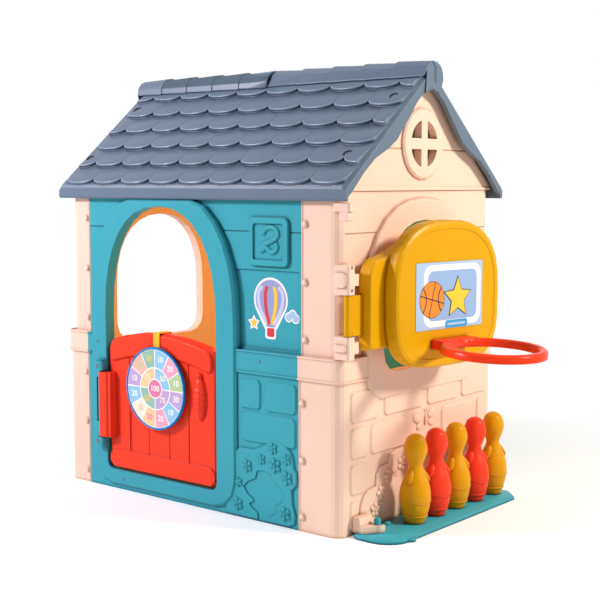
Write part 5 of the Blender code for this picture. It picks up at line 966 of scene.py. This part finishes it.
def make_belt_ribs():
    walls = (
        ("door_wall", -1, ((SEAM_LEFT_X, SURROUND_LEFT_X), (SURROUND_RIGHT_X, SEAM_RIGHT_X))),
        ("back_wall", 1, ((-SEAM_RIGHT_X, -SEAM_LEFT_X),)),
    )
    for wall, way_y, spans in walls:
        bm = bmesh.new()
        for z in BELT_RIBS:
            for span in spans:
                add_rib(bm, [((x, way_y * (HALF_DEPTH + BELT_PROUD)), (0, way_y)) for x in span], z)
        piece(f"{wall}_ribs", bm, SLOT_OF[wall], "house", angle=SOFT)
    bm = bmesh.new()
    for seam_x, way_x, way_y in (
        (SEAM_RIGHT_X, 1, -1), (-SEAM_LEFT_X, 1, 1), (SEAM_LEFT_X, -1, -1), (-SEAM_RIGHT_X, -1, 1),
    ):
        for z in BELT_RIBS:
            add_rib(bm, corner_path(seam_x, way_x, way_y), z)
    piece("gable_ribs", bm, "peach_plastic", "house", angle=SOFT)


# The seams: a rib beside each, and the caps of the snaps that hold the walls together
SEAM_RIB_OFF = 0.0035
SEAM_RIB_LOW_Z = 0.004
SEAM_RIB_TOP_GAP = 0.01
SNAP_PROFILE = (
    (0.0088, -0.001), (0.0088, 0.0016), (0.0080, 0.0024), (0.0072, 0.0026), (0.0070, 0.0044),
    (0.0060, 0.0056), (0.0035, 0.0063), (0, 0.0065),
)
SNAP_SIDES = 24


def add_seam(ribs, snaps, place, seam, way):
    lower, upper = HALF_DEPTH, HALF_DEPTH - UPPER_SETBACK
    x = seam + way * SEAM_RIB_OFF
    for level, low, high in (
        (lower, SEAM_RIB_LOW_Z, BELT_LOW_Z), (upper, BELT_TOP_Z, WALL_TOP_Z - SEAM_RIB_TOP_GAP),
    ):
        add_bead(ribs, place, [(x, low), (x, high)], RIB_WIDTH, RIB_PROUD, level)
    for share in SNAP_HEIGHT_SHARES:
        z = share * WALL_TOP_Z
        face = lower if z < BELT_LOW_Z else upper
        add_lathe(snaps, place, (seam + way * SNAP_INSET, z), face, SNAP_PROFILE, SNAP_SIDES)


def make_seams():
    ribs, snaps = bmesh.new(), bmesh.new()
    for place in (DOOR_WALL, BACK_WALL):
        add_seam(ribs, snaps, place, SEAM_RIGHT_X, 1)
        add_seam(ribs, snaps, place, SEAM_LEFT_X, -1)
    piece("seam_ribs", ribs, "peach_plastic", "house", angle=SOFT)
    piece("snap_caps", snaps, "peach_plastic", "house", angle=TURNED_SOFT)


# Small screws as (a, b, scale) on a CAD node's face
SMALL_HEAD = ((0.0032, -0.0005), (0.0034, 0.0004), (0.0030, 0.0014), (0.0018, 0.0019), (0, 0.0020))
SMALL_SIDES = 16
WALL_SCREWS = (
    (-0.339, 0.391, 1), (-0.244, 0.031, 1), (0.228, 0.388, 1), (-0.320, 0.329, 1.7),
    (-0.323, 0.126, 1.7),
)
BRACKET_SCREWS = ((-0.3255, 0.6214, 1), (-0.3255, 0.5708, 1))


def make_small_screws():
    bm = bmesh.new()
    for node, place, screws in (
        ("door_wall", DOOR_WALL, WALL_SCREWS), ("upper_hinge_bracket", RIGHT_GABLE, BRACKET_SCREWS),
    ):
        for a, b, scale in screws:
            profile = [(radius * scale, height) for radius, height in SMALL_HEAD]
            add_lathe(bm, place, (a, b), level_of(node, place, a, b), profile, SMALL_SIDES)
    piece("small_screws", bm, "steel", "house", angle=TURNED_SOFT)


# Snap covers on the shutter's brackets
COVER_LENGTH = 0.0335
COVER_HEIGHTS = {"upper_bracket_cover": 0.0345, "lower_bracket_cover": 0.0170}
COVER_THICK = 0.0052
COVER_ROUND_SHARE = 0.6
COVER_CORNER_SHARE = 0.6
COVER_STEPS = 4


def make_cover(node, height):
    """A soft-cornered snap cover that stands on its bracket's face."""
    low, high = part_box(node)
    middle_x = (low.x + high.x) / 2 - HOUSE_X
    middle_z = (low.z + high.z) / 2
    base = HOUSE_Y - high.y
    rings = []
    for step in range(-1, COVER_STEPS + 1):
        turn = math.pi / 2 * max(0, step) / COVER_STEPS
        inset = COVER_THICK * COVER_ROUND_SHARE * (1 - math.cos(turn))
        rise = COVER_THICK * (1 - COVER_ROUND_SHARE * (1 - math.sin(turn))) if step >= 0 else 0
        half_a, half_b = COVER_LENGTH / 2 - inset, height / 2 - inset
        corner = min(half_a, half_b) * COVER_CORNER_SHARE
        outline = rounded((-half_a, -half_b), (half_a, half_b), corner)
        rings.append([DOOR_WALL(middle_x + a, middle_z + b, base + rise) for a, b in outline])
    bm = bmesh.new()
    add_loft(bm, rings)
    stand_in(node, "soft", bm, TURNED_SOFT)


# Prints: each shape is a thin film on its own layer, the higher layers prouder
FILM_STEP = 0.00016
NUMBER_SIZE = 0.021
NUMBER_BOLD_SHARE = 0.02
NUMBER_RESOLUTION = 3


def make_print(name, place, level, shapes, slot, body):
    """Films from (layer, colour, outline); shapes on one layer don't overlap."""
    bm = bmesh.new()
    colours = sorted({colour for _, colour, _ in shapes})
    for layer, colour, outline in shapes:
        before = len(bm.faces)
        add_loft(bm, [
            [place(a, b, level + height) for a, b in outline]
            for height in (-FILM_STEP, layer * FILM_STEP)
        ])
        bm.faces.ensure_lookup_table()
        for face in bm.faces[before:]:
            face.material_index = colours.index(colour)
    piece(name, bm, slot, body, [ink(colour) for colour in colours])


def number_faces(text):
    """The faces of a number as outlines in a plane, middle at 0."""
    curve = bpy.data.curves.new("text", "FONT")
    curve.body, curve.size = text, NUMBER_SIZE
    curve.align_x, curve.align_y = "CENTER", "CENTER"
    curve.offset = NUMBER_SIZE * NUMBER_BOLD_SHARE
    curve.resolution_u = NUMBER_RESOLUTION
    obj = bpy.data.objects.new("text", curve)
    mesh = bpy.data.meshes.new_from_object(obj)
    faces = [[tuple(mesh.vertices[v].co[:2]) for v in p.vertices] for p in mesh.polygons]
    bpy.data.objects.remove(obj)
    bpy.data.curves.remove(curve)
    bpy.data.meshes.remove(mesh)
    return faces


def number_films(text, centre, colour, layer):
    return [
        (layer, colour, [(a + centre[0], b + centre[1]) for a, b in face])
        for face in number_faces(text)
    ]


# The target's print: fields as (colour, points, colour of the points), clockwise from the top,
# and the rings that they fill as (fields, inner, outer, middle, half gap in degrees). Radii are
# shares of the target's.
OUTER_FIELDS = (
    ("blue", "10", "white"), ("pink", "20", "white"), ("leaf", "10", "white"),
    ("violet", "30", "white"), ("blue", "10", "white"), ("pink", "20", "white"),
    ("apricot", "30", "rose"), ("ivory", "10", "salmon"), ("blue", "20", "white"),
    ("violet", "10", "white"), ("salmon", "20", "leaf"), ("green", "30", "gold"),
)
MIDDLE_FIELDS = (
    ("blue", "50", "ivory"), ("violet", "75", "ivory"), ("green", "50", "gold"),
    ("apricot", "75", "ivory"),
)
TARGET_RINGS = (
    (OUTER_FIELDS, 0.545, 0.975, 0.77, 1.1), (MIDDLE_FIELDS, 0.255, 0.515, 0.385, 2.2),
)
FIELD_STEPS = 16
BACKING_SHARE = 0.99
BACKING_SIDES = 64
BULL_SHARE = 0.225
BULL_SIDES = 32


def make_target_print():
    radius = TARGET_RADIUS
    shapes = [(1, "white", circle(TARGET_PLACE, radius * BACKING_SHARE, BACKING_SIDES))]
    for fields, inner, outer, middle, gap in TARGET_RINGS:
        angle = 360 / len(fields)
        for number, (colour, points, points_colour) in enumerate(fields):
            high = 90 - angle * number
            ends = (high - angle + gap, high - gap)
            outline = sector(TARGET_PLACE, inner * radius, outer * radius, *ends, FIELD_STEPS)
            shapes.append((2, colour, outline))
            centre = polar(TARGET_PLACE, middle * radius, high - angle / 2)
            shapes += number_films(points, centre, points_colour, 3)
    shapes.append((2, "rose", circle(TARGET_PLACE, BULL_SHARE * radius, BULL_SIDES)))
    shapes += number_films("100", TARGET_PLACE, "white", 3)
    level = level_of("target_disc", DOOR_WALL, *TARGET_PLACE)
    make_print("target_print", DOOR_WALL, level, shapes, "cream_board", "target")


# The card on the backboard: a ball and a star on blue in a white frame, over two bars
CARD_MIDDLE = (0.2755, 0.548)
CARD_LOW = (0.1835, 0.476)
CARD_HIGH = (0.3865, 0.620)
CARD_CORNER = 0.026
CARD_BORDER = 0.014
CARD_FIELD_CORNER = 0.018
BALL = (0.2125, 0.540)
BALL_RADIUS = 0.0415
BALL_RIM = 0.0016
BALL_SIDES = 48
BALL_SEAM = 0.0026
BALL_SEAM_TURNS = (75, -15)
BALL_SIDE_OFF_SHARE = 1.5
BALL_SIDE_HALF = 41
BALL_SIDE_STEPS = 16
CARD_STAR = (0.3020, 0.540)
CARD_STAR_FILMS = ((9, "black", 0.0520, 0.0247), (10, "gold", 0.0480, 0.0225))
CARD_BARS = (
    (3, "cyan", (0.259, 0.471), (0.339, 0.489), 0.007),
    (4, "pale_blue", (0.267, 0.4765), (0.331, 0.4825), 0.0028),
)


def ball_seams():
    """The four lines on a ball: two straight ones that cross, and a curve at each side."""
    seams = [
        [polar(BALL, BALL_RADIUS * share, turn) for share in (-1, 0, 1)] for turn in BALL_SEAM_TURNS
    ]
    for way, middle in ((-1, 0), (1, 180)):
        centre = (BALL[0] + way * BALL_SIDE_OFF_SHARE * BALL_RADIUS, BALL[1])
        seams.append(arc(centre, BALL_RADIUS, middle - BALL_SIDE_HALF, middle + BALL_SIDE_HALF,
                         BALL_SIDE_STEPS))
    return seams


def make_board_print():
    field_low = [place + CARD_BORDER for place in CARD_LOW]
    field_high = [place - CARD_BORDER for place in CARD_HIGH]
    shapes = [
        (1, "white", rounded(CARD_LOW, CARD_HIGH, CARD_CORNER)),
        (2, "mid_blue", rounded(field_low, field_high, CARD_FIELD_CORNER)),
        (3, "black", circle(BALL, BALL_RADIUS + BALL_RIM, BALL_SIDES)),
        (4, "ball", circle(BALL, BALL_RADIUS, BALL_SIDES)),
    ]
    for number, seam in enumerate(ball_seams()):
        shapes.append((5 + number, "black", strip(seam, BALL_SEAM)))
    for layer, colour, outer, inner in CARD_STAR_FILMS:
        shapes.append((layer, colour, star(CARD_STAR, outer, inner)))
    for layer, colour, low, high, corner in CARD_BARS:
        shapes.append((layer, colour, rounded(low, high, corner)))
    level = level_of("board_print", BOARD, *CARD_MIDDLE)
    make_print("board_card", BOARD, level, shapes, "pale_blue_print", "shutter")


# The die-cut sticker beside the door: a balloon, a cloud and a star, each with a white border.
# A gore's points are (share of its shift, share of the radius, rise).
STICKER_MIDDLE = (0.2565, 0.514)
STICKER_BORDER = 0.0055
BALLOON = (0.2505, 0.535)
BALLOON_RADIUS = 0.047
BALLOON_SPAN = (-25, 205)
BALLOON_STEPS = 30
BALLOON_TAPER = 0.018
BALLOON_FOOT_HALF = 0.0125
GORES = ((-62, "pale_lilac"), (-22, "crimson"), (22, "gold"), (62, "pale_lilac"))
GORE_POINTS = ((0.25, -1, -0.012), (0.80, -0.45, 0), (0.92, 0, 0.012), (0.62, 0.66, 0))
GORE_WIDTH = 0.0098
BASKET_HALF = 0.011
BASKET_SPAN = (-0.088, -0.071)
BASKET_CORNER = 0.004
CLOUD = ((0.306, 0.497), (0.318, 0.504), (0.327, 0.495))
PUFF_RADIUS = 0.0085
PUFF_BORDER = 0.0035
PUFF_SIDES = 24
STICKER_STAR = (0.198, 0.477)
STICKER_STAR_RADII = (0.0130, 0.0062)
STICKER_STAR_BORDER_RADII = (0.0195, 0.0110)


def balloon_outline(grow):
    """The envelope, round above and tapered below."""
    foot = BALLOON[1] - BALLOON_RADIUS - BALLOON_TAPER - grow
    half = BALLOON_FOOT_HALF + grow
    outline = arc(BALLOON, BALLOON_RADIUS + grow, *BALLOON_SPAN, BALLOON_STEPS)
    return outline + [(BALLOON[0] - half, foot), (BALLOON[0] + half, foot)]


def basket_outline(grow):
    half = BASKET_HALF + grow
    low, high = (BALLOON[1] + rise for rise in BASKET_SPAN)
    return rounded((BALLOON[0] - half, low - grow), (BALLOON[0] + half, high + grow + BASKET_CORNER),
                   BASKET_CORNER + grow / 2)


def gore_line(turn):
    """The middle of a coloured strip down the envelope."""
    shift = BALLOON_RADIUS * math.sin(math.radians(turn))
    return smooth_line([
        (BALLOON[0] + shift * across, BALLOON[1] + BALLOON_RADIUS * up + rise)
        for across, up, rise in GORE_POINTS
    ])


def make_sticker():
    shapes = [
        (1, "white", balloon_outline(STICKER_BORDER)), (2, "white", basket_outline(STICKER_BORDER)),
        (3, "white", star(STICKER_STAR, *STICKER_STAR_BORDER_RADII)),
        (5, "gold", star(STICKER_STAR, *STICKER_STAR_RADII)),
        (4, "lilac", balloon_outline(0)), (5, "crimson", basket_outline(0)),
    ]
    for number, (turn, colour) in enumerate(GORES):
        shapes.append((5 + number % 2, colour, strip(gore_line(turn), GORE_WIDTH)))
    for number, puff in enumerate(CLOUD):
        shapes.append((7 + number, "pale_blue", circle(puff, PUFF_RADIUS, PUFF_SIDES)))
        shapes.append((1 + number, "white", circle(puff, PUFF_RADIUS + PUFF_BORDER, PUFF_SIDES)))
    level = level_of("door_wall", DOOR_WALL, *STICKER_MIDDLE)
    make_print("door_side_sticker", DOOR_WALL, level, shapes, "pale_blue_print", "house")


# Skittles: turned from (radius, height) pairs, with two stub arms, given as (height, half
# width), and a raised line round the waist. Turns are in degrees.
SKITTLE_PROFILE = (
    (0.0200, 0.0002), (0.0222, 0.0012), (0.0270, 0.0158), (0.0300, 0.0168), (0.0306, 0.0182),
    (0.0303, 0.0200), (0.0290, 0.0212), (0.0320, 0.0290), (0.0342, 0.0380), (0.0360, 0.0530),
    (0.0368, 0.0680), (0.0358, 0.0800), (0.0339, 0.0894), (0.0295, 0.1020), (0.0249, 0.1122),
    (0.0196, 0.1240), (0.0164, 0.1340), (0.0170, 0.1400), (0.0212, 0.1510), (0.0252, 0.1610),
    (0.0277, 0.1710), (0.0280, 0.1790), (0.0262, 0.1890), (0.0232, 0.1970), (0.0226, 0.1993),
    (0.0196, 0.2040), (0.0118, 0.2101), (0.0028, 0.2126),
)
SKITTLE_SIDES = 48
SKITTLE_FACING = -16
RAISED_ROOT = 0.4
ARM_SPREAD = 70
ARM_POINTS = (
    (0.096, 0.0034), (0.100, 0.0078), (0.107, 0.0096), (0.115, 0.0086), (0.122, 0.0056),
    (0.128, 0.0018),
)
ARM_PROUD_SHARE = 0.78
ARM_SIDES = 12
WAIST_HEIGHT = 0.050
WAIST_RISE = 0.013
WAIST_HALF_TURN = 72
WAIST_STEPS = 20
WAIST_WIDTH = 0.0030
WAIST_PROUD = 0.0013
WAIST_END_SHARE = 0.4
WAIST_SIDES = 8


def skittle_radius(z):
    """Radius of the turned profile at a height."""
    for (low_radius, low), (high_radius, high) in zip(SKITTLE_PROFILE, SKITTLE_PROFILE[1:]):
        if low <= z <= high:
            return low_radius + (high_radius - low_radius) * (z - low) / (high - low)
    return 0.0


def add_arm(bm, place, turn):
    """A stub arm that lies along the shoulder."""
    rings = []
    for z, half in ARM_POINTS:
        half_turn = math.degrees(half / skittle_radius(z))
        rings.append([
            place(turn + half_turn * across, z, ARM_PROUD_SHARE * half * out)
            for across, out in half_round(ARM_SIDES, RAISED_ROOT)
        ])
    add_loft(bm, rings)


def add_waist_line(bm, place):
    """A raised line across the front, higher at its ends."""
    rings = []
    for i in range(WAIST_STEPS + 1):
        share = 2 * i / WAIST_STEPS - 1
        middle = WAIST_HEIGHT + WAIST_RISE * share ** 2
        size = WAIST_END_SHARE if i in (0, WAIST_STEPS) else 1
        rings.append([
            place(SKITTLE_FACING + WAIST_HALF_TURN * share, middle + size * WAIST_WIDTH / 2 * up,
                  size * WAIST_PROUD * out)
            for up, out in half_round(WAIST_SIDES, RAISED_ROOT)
        ])
    add_loft(bm, rings)


def make_skittle(node):
    low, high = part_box(node)
    centre = Vector(((low.x + high.x) / 2, (low.y + high.y) / 2, low.z))

    def place(turn, z, out):
        """A point over the skittle's skin: a turn in degrees, a height and a rise."""
        t = math.radians(turn)
        reach = skittle_radius(z) + out
        return centre + Vector((reach * math.cos(t), reach * math.sin(t), z))

    bm = bmesh.new()
    add_loft(bm, [
        [centre + Vector((a, b, z)) for a, b in circle((0, 0), radius, SKITTLE_SIDES)]
        for radius, z in SKITTLE_PROFILE
    ])
    for way in (-1, 1):
        add_arm(bm, place, SKITTLE_FACING + way * ARM_SPREAD)
    add_waist_line(bm, place)
    stand_in(node, "turned", bm, CRISP)


# Stage: a pale floor and a white background, both dimmer as light than as they look
FLOOR_HALF = 14
FLOOR_GREY = 0.86
FLOOR_MOTTLE_GREY = 0.8514
FLOOR_NOISE_SCALE = 40
FLOOR_NOISE_DETAIL = 2
FLOOR_ROUGHNESS = 0.9
FLOOR_GLOW = 0.29
FLOOR_FADE = (0.8, 1.35)
WORLD_LIGHT = 0.26
WHITE = grey(1)


def seen_share(tree):
    """1 for what the camera sees, straight or in or through a surface, 0 for light on things."""
    path = wire(tree, "ShaderNodeLightPath").outputs
    share = path["Is Camera Ray"]
    for kind in ("Is Glossy Ray", "Is Transmission Ray"):
        share = math_node(tree, "MAXIMUM", share, path[kind])
    return share


def make_floor():
    """A pale floor that takes the house's shadow and goes white farther out."""
    bm = bmesh.new()
    corners = ((-1, -1), (1, -1), (1, 1), (-1, 1))
    bm.faces.new([bm.verts.new((a * FLOOR_HALF, b * FLOOR_HALF, 0)) for a, b in corners])
    mesh = meshed("floor", bm)
    floor = added("floor", mesh)
    material, tree, shade, place = blank("pale_floor")
    mottle = noise(tree, place, FLOOR_NOISE_SCALE, FLOOR_NOISE_DETAIL)
    seen = seen_share(tree)
    feed(tree, shade, {
        "Base Color": blended(tree, mottle, grey(FLOOR_GREY), grey(FLOOR_MOTTLE_GREY)),
        "Roughness": FLOOR_ROUGHNESS, "Emission Color": WHITE,
        "Emission Strength": math_node(tree, "MULTIPLY", seen, FLOOR_GLOW),
    })
    off = wire(tree, "ShaderNodeVectorMath", {0: place}, operation="LENGTH").outputs["Value"]
    far = spread(tree, off, FLOOR_FADE, (0, 1))
    white = wire(tree, "ShaderNodeEmission", {"Color": WHITE, "Strength": 1.0})
    both = wire(tree, "ShaderNodeMixShader", {
        0: math_node(tree, "MULTIPLY", seen, far), 1: shade.outputs["BSDF"],
        2: white.outputs["Emission"],
    })
    feed(tree, tree.nodes["Material Output"], {"Surface": both.outputs["Shader"]})
    mesh.materials.append(material)
    floor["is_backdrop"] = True


def make_world():
    world = bpy.data.worlds.new("studio")
    bpy.context.scene.world = world
    world.use_nodes = True
    tree = world.node_tree
    tree.nodes.clear()
    strength = spread(tree, seen_share(tree), (0, 1), (WORLD_LIGHT, 1.0))
    back = wire(tree, "ShaderNodeBackground", {"Color": WHITE, "Strength": strength})
    wire(tree, "ShaderNodeOutputWorld", {"Surface": back.outputs["Background"]})


# Lamps as (name, place, aim, size, power, colour). The glow inside stands in for the light that
# comes through the thin walls.
LAMPS = (
    ("key", (-2.4, -2.8, 2.4), (-0.1, 0, 0.5), 0.7, 142, (0.96, 0.90, 0.985)),
    ("side", (3.2, 1.0, 2.4), (0.2, 0, 0.5), 0.7, 122, (1.0, 0.955, 0.83)),
    ("glow", (-0.15, 0, 0.86), (-0.15, 0, 0), 0.2, 4.5, (1.0, 0.42, 0.16)),
)

# The camera, fitted to the photograph, from the middle of the house
CAMERA_PLACE = (2.10157655, -2.46246224, 0.80975403)
CAMERA_YAW = 0.68802010
CAMERA_PITCH = 0.09696786
CAMERA_LENS = 72.58
CAMERA_SENSOR = 36


def make_lamp(name, place, aim, size, power, colour):
    lamp = bpy.data.lights.new(name, "AREA")
    lamp.shape, lamp.size, lamp.energy, lamp.color = "DISK", size, power, colour
    obj = added(name, lamp)
    obj.location = place
    obj.rotation_euler = (Vector(aim) - Vector(place)).to_track_quat("-Z", "Y").to_euler()


def make_camera():
    camera = bpy.data.cameras.new("camera")
    camera.lens, camera.sensor_width = CAMERA_LENS, CAMERA_SENSOR
    obj = added("camera", camera)
    obj.location = at(*CAMERA_PLACE)
    obj.rotation_euler = (math.pi / 2 - CAMERA_PITCH, 0, CAMERA_YAW)
    bpy.context.scene.camera = obj


# Everything in its place
for node, obj in frame["nodes"].items():
    for material_slot in obj.material_slots:
        material_slot.material = FINISHES[SLOT_OF[node]]
make_tiles("front_tiles", -1)
make_tiles("back_tiles", 1)
make_screws()
make_door_wall_relief()
make_gable_relief("right_gable_relief", RIGHT_GABLE)
make_gable_relief("left_gable_relief", LEFT_GABLE)
make_belt_ribs()
make_seams()
make_small_screws()
for node, height in COVER_HEIGHTS.items():
    make_cover(node, height)
make_target_print()
make_board_print()
make_sticker()
for number in range(1, SKITTLE_COUNT + 1):
    make_skittle(f"skittle_{number}")
for node, angle in SMOOTHED_NODES.items():
    smoothed(node, angle)
make_floor()
make_world()
for lamp in LAMPS:
    make_lamp(*lamp)
make_camera()
bpy.context.scene.view_settings.view_transform = "Standard"

boxes = {"cad": cad_box, "visual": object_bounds()}
{name: [list(corner) for corner in box] for name, box in boxes.items()}
